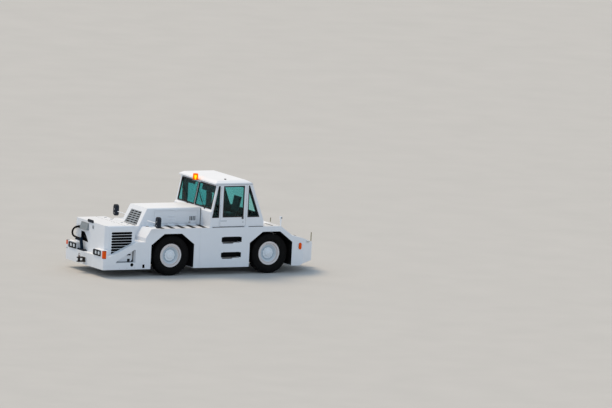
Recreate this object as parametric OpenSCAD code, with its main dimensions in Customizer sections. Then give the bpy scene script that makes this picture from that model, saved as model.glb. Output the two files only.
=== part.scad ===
// Bonneted aircraft pushback tractor, in millimetres.
// +X is forward, +Y is the driver's left, +Z is up.
// The origin is on the ground in the middle of the vehicle.

/* [Overall] */
// Distance between the front and rear axle centres
wheelbase = 3520; // [3440:10:3600]
// Front axle centre ahead of the middle of the vehicle
front_axle_x = 1445; // [1405:5:1485]
// Width over the body sides
body_w = 2500; // [2460:10:2560]
// Height of the side decks above the ground
deck_z = 1510; // [1490:5:1530]
// Height of the skirts' lower edge above the ground
skirt_z = 240; // [200:5:280]

/* [Wheels] */
// Outside diameter of a tyre
tyre_d = 1280; // [1240:10:1300]
// Width of a tyre across its sidewalls
tyre_w = 360; // [330:5:380]
// Diameter over the rim's flanges
rim_d = 744; // [700:4:780]
// Distance between the middles of the left and right tyre
track_w = 2020; // [1990:10:2040]
// Diameter of the stub that a wheel turns on
stub_d = 150; // [120:5:170]

/* [Wheel arches] */
// Half the width of an arch at the hub's height
arch_half = 765; // [755:5:790]
// Half the width of an arch's flat top
arch_top_half = 310; // [260:5:350]
// Height of an arch's shoulders
arch_shoulder_z = 1000; // [980:5:1030]
// Height of an arch's flat top
arch_top_z = 1345; // [1330:5:1370]

/* [Frame] */
// Outer face of a frame rail from the centre plane
rail_y = 420; // [400:5:430]
// Width of a frame rail
rail_w = 120; // [100:5:140]
// Height of a frame rail's section
rail_h = 290; // [260:5:320]
// Underside of the frame rails
rail_z = 800; // [780:5:810]
// Inner face of the side bodies from the centre plane
side_in_y = 460; // [450:5:480]

/* [Front bumper] */
// Bumper's front face ahead of the front axle
bumper_front = 2460; // [2420:10:2500]
// Top of the bumper between the lamps
bumper_z = 640; // [600:5:680]
// Top of the lamp boxes
lamp_box_z = 850; // [820:5:880]
// Length of the bumper's cross weight
bumper_len = 430; // [380:10:480]

/* [Nose] */
// Width of the ledge beside the nose
wing_w = 200; // [170:5:230]
// Nose's front face ahead of the front axle
nose_front = 2300; // [2280:5:2330]
// Nose's rear face ahead of the front axle
nose_rear = 1270; // [1240:5:1290]
// Top of the nose
nose_z = 1605; // [1590:5:1620]
// Cut across each front corner of the nose
nose_corner = 100; // [80:5:130]
// Radius of the nose's upper edges
nose_r = 60; // [40:5:80]
// Thickness of the nose's walls
nose_wall = 30; // [20:2:40]
// Number of louvre slots in each side of the nose
louvres = 8; // [7:1:8]
// Distance between louvre slots
louvre_pitch = 88; // [84:1:92]

/* [Hood] */
// Half the width of the hood
hood_half = 570; // [550:5:590]
// Top of the hood
hood_z = 2070; // [2050:5:2090]
// Radius of the hood's upper edges
hood_r = 45; // [35:5:60]
// Lower edge of the hood's sloping front, ahead of the front axle
hood_front_low = 890; // [870:5:910]
// Upper edge of the hood's sloping front, ahead of the front axle
hood_front_high = 610; // [590:5:630]
// Thickness of the hood's walls
hood_wall = 30; // [20:2:40]
// Number of slats in the radiator grille
grille_slats = 6; // [5:1:7]

/* [Cab] */
// Distance of the cab's sides inside the body sides
cab_inset = 25; // [20:5:40]
// Thickness of the cab's walls and doors
cab_wall = 50; // [44:2:60]
// Cab's front wall behind the front axle
cab_front = 1310; // [1300:5:1320]
// Foot of the sloping windscreen behind the front axle
screen_foot = 1369; // [1365:1:1380]
// Underside of the roof
eave_z = 2870; // [2850:5:2890]
// Thickness of the roof at its middle
roof_h = 110; // [100:5:120]
// Overhang of the roof in front of the windscreen
roof_front_over = 90; // [70:5:110]
// Front edge of the doors behind the front axle
door_front = 1650; // [1640:5:1660]
// Length of a door
door_len = 925; // [905:5:935]
// Gap round a door
door_gap = 8; // [6:1:10]
// Thickness of the window glass
glass_t = 6; // [5:1:8]

/* [Rear body] */
// Rear edge of the body sides behind the rear axle
tail_back = 1180; // [1150:10:1210]
// Length of the tapered tail
tail_len = 650; // [620:10:680]
// Half the width of the tail's rear face
tail_half = 600; // [570:10:640]
// Lower edge of the tail above the ground
tail_z = 300; // [260:5:330]
// Top of the tail's rear face
tail_face_z = 880; // [840:5:920]

/* [Hitches] */
// Height of the front coupling's plates
front_hitch_z = 410; // [395:5:425]
// Height of the rear coupling's plates
rear_hitch_z = 465; // [450:5:480]
// Diameter of a tow pin's holes
pin_d = 42; // [38:1:50]
// Thickness of a coupling plate
plate_t = 30; // [25:1:34]
// Clear gap between coupling plates
hitch_gap = 90; // [80:5:100]
// Reach of a coupling past the body
hitch_reach = 270; // [250:5:290]

/* [Hidden] */
$fn = 48;

white = [0.90, 0.91, 0.92];
dark = [0.10, 0.10, 0.11];
grey = [0.45, 0.46, 0.48];
orange = [0.95, 0.42, 0.05];
teal = [0.20, 0.42, 0.45, 0.5];

// A cut reaches this far past the face that it opens
over = 20;
// Running clearance of a pin or stub in its bore
fit = 0.1;
half_w = body_w / 2;
nose_half = half_w - wing_w;
cab_half = half_w - cab_inset;
axle_z = tyre_d / 2;
wheel_y = track_w / 2;
rear_axle_x = front_axle_x - wheelbase;
// King pin axis, level with the tyre's inner face
pin_y = wheel_y - tyre_w / 2 + 20;
rail_top = rail_z + rail_h;

// Places along the body, from the front axle
function fx(d) = front_axle_x + d;
fender_front = 980;
fender_top_front = 790;
fender_low_z = 1220;
step_z = 1100;
// Rear edge of the body sides, end of the level deck and end of its slope, behind the front axle
tail_x = wheelbase + tail_back;
deck_end = tail_x - 850;
rear_slope_end = tail_x - 430;
rear_deck_z = 1210;
tail_top_z = 1100;
panel_seam = 970;
deck_seam = deck_end - 240;

// Outline [x, z] extruded between the planes y0 and y1
module plate_xz(points, y0, y1) {
    translate([0, y1, 0]) rotate([90, 0, 0]) linear_extrude(y1 - y0) polygon(points);
}

// Outline [y, z] extruded between the planes x0 and x1
module plate_yz(x0, x1) {
    translate([x0, 0, 0]) rotate([90, 0, 90]) linear_extrude(x1 - x0) children();
}

// Block from one corner to the opposite one
module block(a, b) {
    translate(a) cube(b - a);
}

// Round bar along Y
module bar_y(x, z, y0, y1, d) {
    translate([x, y1, z]) rotate([90, 0, 0]) cylinder(h = y1 - y0, d = d);
}

// Round bar along X
module bar_x(y, z, x0, x1, d) {
    translate([x0, y, z]) rotate([0, 90, 0]) cylinder(h = x1 - x0, d = d);
}

// Round bar along Z
module bar_z(x, y, z0, z1, d) {
    translate([x, y, z0]) cylinder(h = z1 - z0, d = d);
}

// A rectangle with its two upper corners rounded, standing on z = 0
module round_top_2d(half, h, r) {
    translate([-half, 0]) square([2 * half, h - r]);
    translate([r - half, h - 2 * r]) square([2 * (half - r), 2 * r]);
    for (s = [-1, 1]) translate([s * (half - r), h - r]) circle(r);
}

// A slot with round ends, centred
module slot_2d(len, h) {
    square([len - h, h], center = true);
    for (s = [-1, 1]) translate([s * (len - h) / 2, 0]) circle(d = h);
}

module both_sides() {
    children();
    mirror([0, 1, 0]) children();
}

// Frame: two rails, cross members and the brackets that carry the side bodies
cross_d = 120;
// Cross member places behind the front axle
cross_members = [-2000, -640, 640, 1500, wheelbase - 820, tail_x - 350];
// Brackets that carry the side bodies: [from, to] behind the front axle
side_brackets = [[-1200, -820], [900, 1200], [wheelbase - 1320, wheelbase - 920], [tail_x - 350, tail_x - 50]];
bracket_drop = 60;
module chassis() {
    color(dark) {
        rail_x0 = fx(-tail_x);
        rail_x1 = fx(bumper_front - bumper_len);
        both_sides() block([rail_x0, rail_y - rail_w, rail_z], [rail_x1, rail_y, rail_top]);
        for (c = cross_members)
            block([fx(-c) - cross_d / 2, -rail_y, rail_z], [fx(-c) + cross_d / 2, rail_y, rail_z + cross_d]);
        for (b = side_brackets) both_sides()
            block([fx(-b[1]), rail_y - over, rail_z], [fx(-b[0]), side_in_y, rail_top - bracket_drop]);
    }
}

// Side outline of one wheel arch round an axle
module arch_cut(x) {
    plate_xz([
        [x - arch_half, 0], [x - arch_half, arch_shoulder_z], [x - arch_top_half, arch_top_z],
        [x + arch_top_half, arch_top_z], [x + arch_half, arch_shoulder_z], [x + arch_half, 0]
    ], side_in_y - over, half_w + over);
}

// Foot holes below a door: [height of the middle, height of the hole]
foot_holes = [[1115, 190], [628, 185]];
foot_hole_len = 720;
foot_hole_depth = 200;
foot_corner = 14;
// Middle of the foot holes behind the doors' front edge
foot_hole_back = 450;
// Lip at the rear end of a foot hole's lower edge
foot_lip_len = 380;
foot_lip_h = 30;
foot_lip_in = 40;
module foot_hole(z, h) {
    x = fx(-door_front - foot_hole_back);
    y0 = half_w - foot_hole_depth;
    x1 = x + foot_hole_len / 2;
    translate([x, half_w + over, z]) rotate([90, 0, 0])
        linear_extrude(foot_hole_depth + over) slot_2d(foot_hole_len, h);
    // The hole's ends are nearly square
    block([x - foot_hole_len / 2, y0, z - h / 2 + foot_corner],
        [x1, half_w + over, z + h / 2 - foot_corner]);
    block([x1 - foot_lip_len - foot_lip_in, y0, z - h / 2 - foot_lip_h],
        [x1 - foot_lip_in, half_w + over, z]);
}

// One side of the body: fenders, arches, deck, skirt and foot holes
seam_w = 6;
skirt_cut = 120;
// Jacking hole in the front of the skirt: place ahead of the axle, height, length, height of the hole
jack_hole_x = 1016;
jack_hole_z = 335;
jack_hole = [76, 80, 115];
module side_body() {
    color(white) difference() {
        plate_xz([
            [fx(nose_rear), skirt_z], [fx(nose_rear), step_z], [fx(fender_front), step_z],
            [fx(fender_front), fender_low_z], [fx(fender_top_front), deck_z],
            [fx(-deck_end), deck_z], [fx(-rear_slope_end), rear_deck_z],
            [fx(-tail_x), tail_top_z], [fx(-tail_x), tail_z], [fx(-tail_x) + skirt_cut, skirt_z]
        ], side_in_y, half_w);
        arch_cut(front_axle_x);
        arch_cut(rear_axle_x);
        for (f = foot_holes) foot_hole(f[0], f[1]);
        // Seams between panels, down the side and across the rear deck
        block([fx(-panel_seam) - seam_w / 2, half_w - seam_w, skirt_z - over],
            [fx(-panel_seam) + seam_w / 2, half_w + over, deck_z + over]);
        block([fx(-deck_seam) - seam_w / 2, side_in_y - over, deck_z - seam_w],
            [fx(-deck_seam) + seam_w / 2, half_w + over, deck_z + over]);
        translate([fx(jack_hole_x) - jack_hole[0] / 2, half_w - jack_hole[1], jack_hole_z - jack_hole[2] / 2])
            cube(jack_hole + [0, over, 0]);
    }
}
module side_left() {
    side_body();
}
module side_right() {
    mirror([0, 1, 0]) side_body();
}

// Rear body between the side bodies, with the tapered tail that slopes down to its rear face
rear_body_gap = 10;
lamp_post_x = tail_x - 350;
lamp_post_y = 300;
lamp_post_z = 1575;
lamp_post_d = 40;
// Marker rod at the left rear corner, standing in from the corner
corner_rod_in = 25;
corner_rod_z = 1190;
corner_rod_d = 26;
// Grab handle on the tail's slanting side: place along the side, length, height above the ground
grab_from = 210;
grab_len = 330;
grab_z = 950;
grab_d = 28;
grab_h = 30;
function tail_rear_x() = fx(-tail_x - tail_len);
// Height of the tail's sloping top at distance d behind the front axle
function tail_slope_z(d) = tail_top_z - (d - tail_x) * (tail_top_z - tail_face_z) / tail_len;
module tail_form() {
    intersection() {
        translate([0, 0, tail_z]) linear_extrude(tail_top_z - tail_z) polygon([
            [fx(-tail_x), half_w], [tail_rear_x(), tail_half],
            [tail_rear_x(), -tail_half], [fx(-tail_x), -half_w]
        ]);
        plate_xz([
            [fx(-tail_x), tail_z], [fx(-tail_x), tail_top_z],
            [tail_rear_x(), tail_face_z], [tail_rear_x(), tail_z]
        ], -half_w, half_w);
    }
}
module grab_handle() {
    translate([fx(-tail_x), half_w, grab_z]) rotate([0, 0, 180 + atan2(half_w - tail_half, tail_len)]) {
        bar_x(-grab_h, 0, grab_from, grab_from + grab_len, grab_d);
        for (x = [grab_from + grab_d / 2, grab_from + grab_len - grab_d / 2])
            bar_y(x, 0, -grab_h, over, grab_d);
    }
}
module rear_body() {
    x0 = fx(-cab_rear - rear_body_gap);
    color(white) {
        plate_xz([
            [x0, rail_top], [x0, deck_z], [fx(-deck_end), deck_z],
            [fx(-rear_slope_end), rear_deck_z], [fx(-tail_x), tail_top_z], [fx(-tail_x), rail_top]
        ], -side_in_y, side_in_y);
        tail_form();
        bar_z(fx(-lamp_post_x), lamp_post_y, tail_top_z, lamp_post_z, lamp_post_d);
        bar_z(tail_rear_x() + corner_rod_in, tail_half - corner_rod_in,
            tail_face_z - over, corner_rod_z, corner_rod_d);
        grab_handle();
    }
}

// Front bumper: cross weight, lamp boxes and the two wings with their steps
lamp_y = half_w - 420;
lamp_box_in = 245;
lamp_box_len = 160;
wing_nose_x = 2220;
wing_nose_z = 655;
// Step in a wing: [rear end, front end] ahead of the axle and [low, high] heights
step_x = [1310, 2000];
step_z_range = [455, 860];
step_toe = 30;
step_heel = 60;
step_depth = 170;
// Round lashing hole in each wing
lash_x = 1430;
lash_z = 390;
lash_d = 110;
lash_depth = 90;
// Corner notch that holds an indicator: length, width and lower edge
lamp_corner_len = 100;
lamp_corner_w = 90;
lamp_corner_z = 600;
module wing_outline() {
    polygon([
        [fx(nose_rear), skirt_z], [fx(nose_rear), step_z],
        [fx(wing_nose_x), wing_nose_z], [fx(bumper_front), bumper_z], [fx(bumper_front), skirt_z]
    ]);
}
module front_bumper() {
    color(white) difference() {
        union() {
            block([fx(bumper_front - bumper_len), -nose_half, skirt_z],
                [fx(bumper_front), nose_half, bumper_z]);
            both_sides() translate([0, half_w, 0]) rotate([90, 0, 0])
                linear_extrude(half_w - nose_half) wing_outline();
            both_sides() block([fx(bumper_front - lamp_box_len), lamp_y - lamp_box_in, skirt_z],
                [fx(bumper_front), half_w, lamp_box_z]);
        }
        both_sides() {
            plate_xz([
                [fx(step_x[0]), step_z_range[0]], [fx(step_x[0]), step_z_range[1]],
                [fx(step_x[0] + step_heel), step_z_range[1]],
                [fx(step_x[1]), step_z_range[0] + step_toe], [fx(step_x[1]), step_z_range[0]]
            ], half_w - step_depth, half_w + over);
            bar_y(fx(lash_x), lash_z, half_w - lash_depth, half_w + over, lash_d);
            block([fx(bumper_front - lamp_corner_len), half_w - lamp_corner_w, lamp_corner_z],
                [fx(bumper_front) + over, half_w + over, lamp_box_z + over]);
        }
    }
}

// Nose: a shell with rounded upper edges, clipped front corners and louvre slots
louvre_low = 754;
louvre_front = 2090;
louvre_rear = 1370;
slot_h = 66;
// Recess for the towing connector in the nose's front wall: outlined [y, z]
recess = [[-600, 950], [-100, 925], [-236, 1105], [-380, 1228], [-600, 1228]];
module nose_outer(inset) {
    intersection() {
        plate_yz(fx(nose_rear) + inset, fx(nose_front) - inset)
            translate([0, bumper_z]) round_top_2d(nose_half - inset, nose_z - bumper_z - inset, nose_r);
        translate([0, 0, bumper_z - over]) linear_extrude(nose_z) polygon([
            [fx(nose_rear), nose_half], [fx(nose_front - nose_corner), nose_half - inset],
            [fx(nose_front) - inset, nose_half - nose_corner],
            [fx(nose_front) - inset, nose_corner - nose_half],
            [fx(nose_front - nose_corner), inset - nose_half], [fx(nose_rear), -nose_half]
        ]);
    }
}
module nose_body() {
    color(white) difference() {
        nose_outer(0);
        translate([0, 0, -over]) nose_outer(nose_wall);
        for (i = [0:louvres - 1])
            translate([(fx(louvre_front) + fx(louvre_rear)) / 2, 0, louvre_low + i * louvre_pitch])
                rotate([90, 0, 0])
                    linear_extrude(2 * nose_half + 2 * over, center = true)
                        slot_2d(louvre_front - louvre_rear, slot_h);
        // Recess for the towing connector in the front wall
        plate_yz(fx(nose_front) - nose_wall - over, fx(nose_front) + over) polygon(recess);
        // Way for the frame rails through the rear wall
        block([fx(nose_rear) - over, -side_in_y, bumper_z - over],
            [fx(nose_rear) + nose_wall + over, side_in_y, step_z]);
    }
    // Bridge from the nose to the hood, over the frame
    x1 = fx(nose_rear) + nose_wall;
    color(white) plate_xz([
        [fx(fender_top_front), deck_z], [x1, deck_z], [x1, step_z],
        [fx(fender_front), step_z], [fx(fender_front), fender_low_z]
    ], -hood_half, hood_half);
}

// Louvre blades behind the slots, hung in a tray on each side
tray_t = 12;
blade_t = 8;
blade_w = 70;
blade_tilt = 30;
blade_in = 6;
tray_over = 30;
module nose_louvres() {
    color(grey) both_sides() {
        y1 = nose_half - nose_wall;
        x0 = fx(louvre_rear) - tray_over;
        x1 = fx(louvre_front) + tray_over;
        z0 = louvre_low - louvre_pitch / 2;
        z1 = louvre_low + (louvres - 0.5) * louvre_pitch;
        block([x0, y1 - blade_w, z0], [x0 + tray_t, y1, z1]);
        block([x1 - tray_t, y1 - blade_w, z0], [x1, y1, z1]);
        block([x0, y1 - blade_w - tray_t, z0], [x1, y1 - blade_w, z1]);
        for (i = [0:louvres - 1])
            translate([x0, y1, louvre_low + i * louvre_pitch + louvre_pitch / 2 - blade_t])
                rotate([blade_tilt, 0, 0]) translate([0, -blade_w, 0])
                    cube([x1 - x0, blade_w - blade_in, blade_t]);
    }
}

// Hood: a shell open below, with a sloping front and an opening for each side door
hood_door_front = 350;
hood_door_rear = 1190;
hood_door_low = deck_z + 50;
hood_door_top = hood_z - 85;
hood_door_gap = 6;
hood_low = deck_z;
hood_cab_gap = 4;
function hood_rear_x() = fx(-cab_front) + hood_cab_gap;
module hood_outline(inset) {
    polygon([
        [hood_rear_x() + inset, 0], [fx(hood_front_low) - inset, 0],
        [fx(hood_front_high) - inset, hood_z - hood_low], [hood_rear_x() + inset, hood_z - hood_low]
    ]);
}
module hood_form(inset) {
    intersection() {
        plate_yz(hood_rear_x() - over, fx(hood_front_low) + over)
            translate([0, hood_low]) round_top_2d(hood_half - inset, hood_z - hood_low - inset, hood_r);
        translate([0, hood_half + over, hood_low]) rotate([90, 0, 0])
            linear_extrude(2 * hood_half + 2 * over) hood_outline(inset);
    }
}

// Grille opening in the hood's sloping front, narrower at its top
grille_half_low = 410;
grille_half_high = 350;
grille_low = hood_low + 12;
grille_high = hood_z - 135;
grille_bar = 28;
grille_set_in = 4;
hood_slope = (hood_front_low - hood_front_high) / (hood_z - hood_low);
// Place of the hood's sloping front at height z
function face_x(z) = fx(hood_front_low - (z - hood_low) * hood_slope);
// Half the width of the grille at height z
function grille_half(z) = grille_half_low
    - (z - grille_low) * (grille_half_low - grille_half_high) / (grille_high - grille_low);
// Outline [y, z] of the grille, drawn in by inset
module grille_2d(inset) {
    polygon([
        [-grille_half_low + inset, grille_low + inset], [grille_half_low - inset, grille_low + inset],
        [grille_half_high - inset, grille_high - inset], [-grille_half_high + inset, grille_high - inset]
    ]);
}
module hood() {
    color(white) difference() {
        hood_form(0);
        translate([0, 0, -over]) hood_form(hood_wall);
        plate_yz(fx(hood_front_high) - 10 * over, fx(hood_front_low) + over) grille_2d(0);
        both_sides() block([fx(-hood_door_rear), hood_half - hood_wall - over, hood_door_low],
            [fx(hood_door_front), hood_half + over, hood_door_top]);
    }
    color(white) for (x = hood_hinges) both_sides() hood_hinge(x, 1);
}

// Hinge of a hood side door: the hood's two outer barrels, or the door's middle barrel
hood_hinge_r = 8;
hood_hinge_out = 14;
hood_hinge_len = 40;
hood_hinges = [-1000, -420, 160];
hinge_gap = 0.3;
// Leaf of a hinge, from its barrel to the panel: [thickness, reach, width of the panel's end]
hood_leaf = [4, 36, 14];
module hood_hinge(x, fixed) {
    y = hood_half + hood_hinge_out;
    z = hood_door_top;
    for (k = fixed ? [-1, 1] : [0]) {
        x0 = fx(x) + k * (hood_hinge_len + hinge_gap) - hood_hinge_len / 2;
        x1 = x0 + hood_hinge_len;
        reach = fixed ? hood_leaf[1] - 10 : hood_leaf[1];
        bar_x(y, z, x0, x1, 2 * hood_hinge_r);
        mirror([0, 0, fixed ? 0 : 1]) translate([0, 0, fixed ? z : -z]) {
            block([x0, y - hood_leaf[0], 0], [x1, y, reach]);
            block([x0, hood_half - 1, reach - hood_leaf[2]], [x1, y, reach]);
        }
    }
}

// Hood side doors, hinged along their top edges, with pressed louvres towards the cab
door_rib_x = [-430, -140];
door_rib_z = [1620, 1810];
door_ribs = 5;
door_rib_d = 20;
// Upright vents towards the cab: first place, distance, width and [low, high]
door_vents = 4;
door_vent_x = -1105;
door_vent_pitch = 58;
door_vent_w = 34;
door_vent_z = [1655, 1790];
module hood_door() {
    color(white) {
        difference() {
            block([fx(-hood_door_rear) + hood_door_gap, hood_half - hood_wall, hood_door_low + hood_door_gap],
                [fx(hood_door_front) - hood_door_gap, hood_half, hood_door_top - hood_door_gap]);
            for (i = [0:door_vents - 1])
                translate([fx(door_vent_x + i * door_vent_pitch), hood_half - hood_wall / 2, 0])
                    block([-door_vent_w / 2, -hood_wall, door_vent_z[0]],
                        [door_vent_w / 2, hood_wall, door_vent_z[1]]);
        }
        for (i = [0:door_ribs - 1])
            bar_x(hood_half - 2, door_rib_z[0] + i * (door_rib_z[1] - door_rib_z[0]) / (door_ribs - 1),
                fx(door_rib_x[0]), fx(door_rib_x[1]), door_rib_d);
        for (x = hood_hinges) hood_hinge(x, 0);
    }
}
module hood_door_left() {
    hood_door();
}
module hood_door_right() {
    mirror([0, 1, 0]) hood_door();
}

// Radiator grille: slats and uprights in a frame that fills the opening
grille_uprights = [-1/3, 1/3];
module grille_bar_xz(z0, z1) {
    plate_xz([
        [face_x(z0) - hood_wall, z0], [face_x(z0) - grille_set_in, z0],
        [face_x(z1) - grille_set_in, z1], [face_x(z1) - hood_wall, z1]
    ], -grille_half_low, grille_half_low);
}
module hood_grille() {
    rise = (grille_high - grille_low - grille_bar) / grille_slats;
    color(grey) {
        intersection() {
            plate_yz(fx(hood_front_high) - 10 * over, fx(hood_front_low)) grille_2d(0);
            for (i = [0:grille_slats])
                grille_bar_xz(grille_low + i * rise, grille_low + i * rise + grille_bar);
        }
        intersection() {
            grille_bar_xz(grille_low, grille_high);
            plate_yz(fx(hood_front_high) - 10 * over, fx(hood_front_low)) {
                difference() {
                    grille_2d(0);
                    grille_2d(grille_bar);
                }
                for (k = grille_uprights)
                    translate([k * grille_half_high - grille_bar / 2, grille_low])
                        square([grille_bar, grille_high - grille_low]);
            }
        }
    }
}

// Radiator behind the grille, standing on the frame rails
radiator_front = 540;
radiator_t = 120;
radiator_side = 30;
radiator_top = 1960;
module radiator() {
    color(dark) block([fx(radiator_front - radiator_t), radiator_side - side_in_y, rail_top],
        [fx(radiator_front), side_in_y - radiator_side, radiator_top]);
}

// Engine and gearbox, with the shaft to the rear axle
engine_gap = 20;
engine_half = rail_y - rail_w - engine_gap;
engine_front = 300;
engine_rear = -750;
engine_top = 1850;
gearbox_rear = -1600;
gearbox_top = 1420;
gearbox_in = 60;
shaft_z = 990;
shaft_d = 110;
input_len = 260;
module powertrain() {
    z0 = rail_z + cross_d;
    color(grey) {
        block([fx(engine_rear), -engine_half, z0], [fx(engine_front), engine_half, engine_top]);
        block([fx(gearbox_rear), gearbox_in - engine_half, z0],
            [fx(engine_rear), engine_half - gearbox_in, gearbox_top]);
        bar_x(0, shaft_z, rear_axle_x + input_len, fx(gearbox_rear) + over, shaft_d);
    }
}

// Front axle beam with its yokes and frame pads
beam_h = 170;
beam_w = 180;
yoke_w = 150;
yoke_t = 60;
yoke_gap = 6;
yoke_reach = 60;
knuckle_h = 240;
// Distance of the beam's ends inside the king pins
beam_end_in = 130;
king_d = 80;
barrel_d = 180;
module front_axle() {
    y1 = pin_y - beam_end_in;
    yoke_far = knuckle_h / 2 + yoke_gap + yoke_t;
    color(grey) difference() {
        union() {
            block([front_axle_x - beam_w / 2, -y1, axle_z - beam_h / 2],
                [front_axle_x + beam_w / 2, y1, axle_z + beam_h / 2]);
            both_sides() {
                for (s = [-1, 1]) {
                    z = axle_z + s * (yoke_far - yoke_t / 2);
                    block([front_axle_x - yoke_w / 2, y1 - yoke_reach, z - yoke_t / 2],
                        [front_axle_x + yoke_w / 2, pin_y, z + yoke_t / 2]);
                    bar_z(front_axle_x, pin_y, z - yoke_t / 2, z + yoke_t / 2, yoke_w);
                }
                block([front_axle_x - yoke_w / 2, y1 - yoke_reach, axle_z - yoke_far],
                    [front_axle_x + yoke_w / 2, y1, axle_z + yoke_far]);
                block([front_axle_x - beam_w / 2, rail_y - rail_w, axle_z],
                    [front_axle_x + beam_w / 2, rail_y, rail_z]);
            }
        }
        both_sides() bar_z(front_axle_x, pin_y, 0, 2 * axle_z, king_d + 2 * fit);
    }
}

// Steering knuckle: a king pin, its barrel and the wheel's stub
stub_past = 40;
stub_end = wheel_y + stub_past;
module knuckle() {
    pin_half = knuckle_h / 2 + yoke_gap + yoke_t;
    color(grey) {
        bar_z(front_axle_x, pin_y, axle_z - knuckle_h / 2, axle_z + knuckle_h / 2, barrel_d);
        bar_z(front_axle_x, pin_y, axle_z - pin_half, axle_z + pin_half, king_d);
        bar_y(front_axle_x, axle_z, pin_y, stub_end, stub_d);
    }
}
module knuckle_left() {
    knuckle();
}
module knuckle_right() {
    mirror([0, 1, 0]) knuckle();
}

// Rear axle: tube, differential and the stubs of the rear wheels
axle_tube_d = 220;
diff_d = 420;
input_half = 90;
input_over = 80;
module rear_axle() {
    color(grey) {
        bar_y(rear_axle_x, axle_z, -pin_y, pin_y, axle_tube_d);
        translate([rear_axle_x, 0, axle_z]) sphere(d = diff_d);
        block([rear_axle_x + over, -input_half, axle_z],
            [rear_axle_x + input_len, input_half, shaft_z + input_over]);
        both_sides() {
            bar_y(rear_axle_x, axle_z, pin_y - over, stub_end, stub_d);
            block([rear_axle_x - beam_w / 2, rail_y - rail_w, axle_z],
                [rear_axle_x + beam_w / 2, rail_y, rail_z]);
        }
    }
}

// Wheel at a corner: the outline [radius, outward] is turned about the axle
module wheel_at(x, side) {
    translate([x, side * wheel_y, axle_z]) rotate([-90 * side, 0, 0]) children();
}

// Middle of a rim to its bead seats, and the thickness of its barrel
rim_y = 110;
rim_t = 14;
rim_flange = 18;
rim_lip = 30;
bead_in = 22;
hub_d = 240;
hub_chamfer = 30;
hub_face_in = 10;
hub_gap = 10;
// Depth of the hub behind the rim's middle, clear of the knuckle's barrel
hub_in = wheel_y - pin_y - barrel_d / 2 - hub_gap;
// Dished disc, outer face: [distance in from the barrel, depth behind the flange]
disc_in = [1, 60, 110];
disc_deep = [50, 10, 60];
disc_t = 18;
module rim() {
    r = rim_d / 2;
    barrel = r - rim_lip;
    color(white) difference() {
        rotate_extrude($fn = 64) {
            // Barrel with a flange at each edge
            polygon([
                [barrel - rim_t, -rim_y], [r, -rim_y - rim_flange], [r, -rim_y],
                [barrel, -rim_y + bead_in], [barrel, rim_y - bead_in], [r, rim_y],
                [r, rim_y + rim_flange], [barrel - rim_t, rim_y + rim_flange]
            ]);
            polygon([
                [barrel - disc_in[0], rim_y - disc_deep[0]], [barrel - disc_in[1], rim_y - disc_deep[1]],
                [barrel - disc_in[2], rim_y - disc_deep[2]], [hub_d / 2, rim_y - disc_deep[2]],
                [hub_d / 2, rim_y - disc_deep[2] - disc_t],
                [barrel - disc_in[2] - disc_t / 2, rim_y - disc_deep[2] - disc_t],
                [barrel - disc_in[1], rim_y - disc_deep[1] - disc_t],
                [barrel - disc_in[0], rim_y - disc_deep[0] - disc_t]
            ]);
            // Hub with its chamfered face
            polygon([
                [0, -hub_in], [hub_d / 2, -hub_in], [hub_d / 2, rim_y - hub_chamfer - hub_face_in],
                [hub_d / 2 - hub_chamfer, rim_y - hub_face_in], [0, rim_y - hub_face_in]
            ]);
        }
        translate([0, 0, -hub_in - over])
            cylinder(h = hub_in + over + stub_past + yoke_gap, d = stub_d + 2 * fit);
    }
}
module rim_front_left() {
    wheel_at(front_axle_x, 1) rim();
}
module rim_front_right() {
    wheel_at(front_axle_x, -1) rim();
}
module rim_rear_left() {
    wheel_at(rear_axle_x, 1) rim();
}
module rim_rear_right() {
    wheel_at(rear_axle_x, -1) rim();
}

// Tyre: beads, bulged sidewalls, round shoulders and a flat tread
tread_half = 128;
module tyre() {
    r = tyre_d / 2;
    w = tyre_w / 2;
    bead = rim_d / 2 - rim_lip;
    mid = (rim_d / 2 + r) / 2;
    // Half of the section: [radius, distance from the middle]
    half = [
        [bead, rim_y - bead_in], [rim_d / 2, rim_y], [rim_d / 2 + 8, rim_y + 34],
        [mid - 62, w - 10], [mid + 10, w], [r - 70, w - 6], [r - 30, w - 16], [r - 8, w - 34],
        [r, tread_half]
    ];
    n = len(half);
    color(dark) rotate_extrude($fn = 64)
        polygon(concat(half, [for (i = [n - 1:-1:0]) [half[i][0], -half[i][1]]]));
}
module tyre_front_left() {
    wheel_at(front_axle_x, 1) tyre();
}
module tyre_front_right() {
    wheel_at(front_axle_x, -1) tyre();
}
module tyre_rear_left() {
    wheel_at(rear_axle_x, 1) tyre();
}
module tyre_rear_right() {
    wheel_at(rear_axle_x, -1) tyre();
}

// Cab, in side view behind the front axle
rake = 0.1912;
cowl_z = 2000;
cowl_rise = 50;
cab_rear_low_z = 1700;
roof_rear = door_front + door_len + 190;
cab_rear = roof_rear + 455;
cab_low = deck_z;
sill_h = 24;
floor_t = 40;
floor_top = cab_low + floor_t;
glass_low = 2080;
glass_high = 2810;
// Sloping line of the windscreen at height z
function screen_x(z) = fx(-screen_foot - (z - glass_low) * rake);
rear_rake = (cab_rear - roof_rear) / (eave_z - cab_rear_low_z);
function rear_x(z) = z < cab_rear_low_z ? fx(-cab_rear)
    : fx(-cab_rear + (z - cab_rear_low_z) * rear_rake);
module cab_outline(inset, low, high) {
    polygon([
        [fx(-cab_front) - inset, low], [fx(-cab_front) - inset, cowl_z],
        [screen_x(cowl_z + cowl_rise) - inset, cowl_z + cowl_rise], [screen_x(high) - inset, high],
        [rear_x(high) + inset, high], [rear_x(cab_rear_low_z) + inset, cab_rear_low_z],
        [rear_x(cab_rear_low_z) + inset, low]
    ]);
}
module cab_form(inset, low, high) {
    y = cab_half - inset;
    translate([0, y, 0]) rotate([90, 0, 0]) linear_extrude(2 * y) cab_outline(inset, low, high);
}
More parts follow.
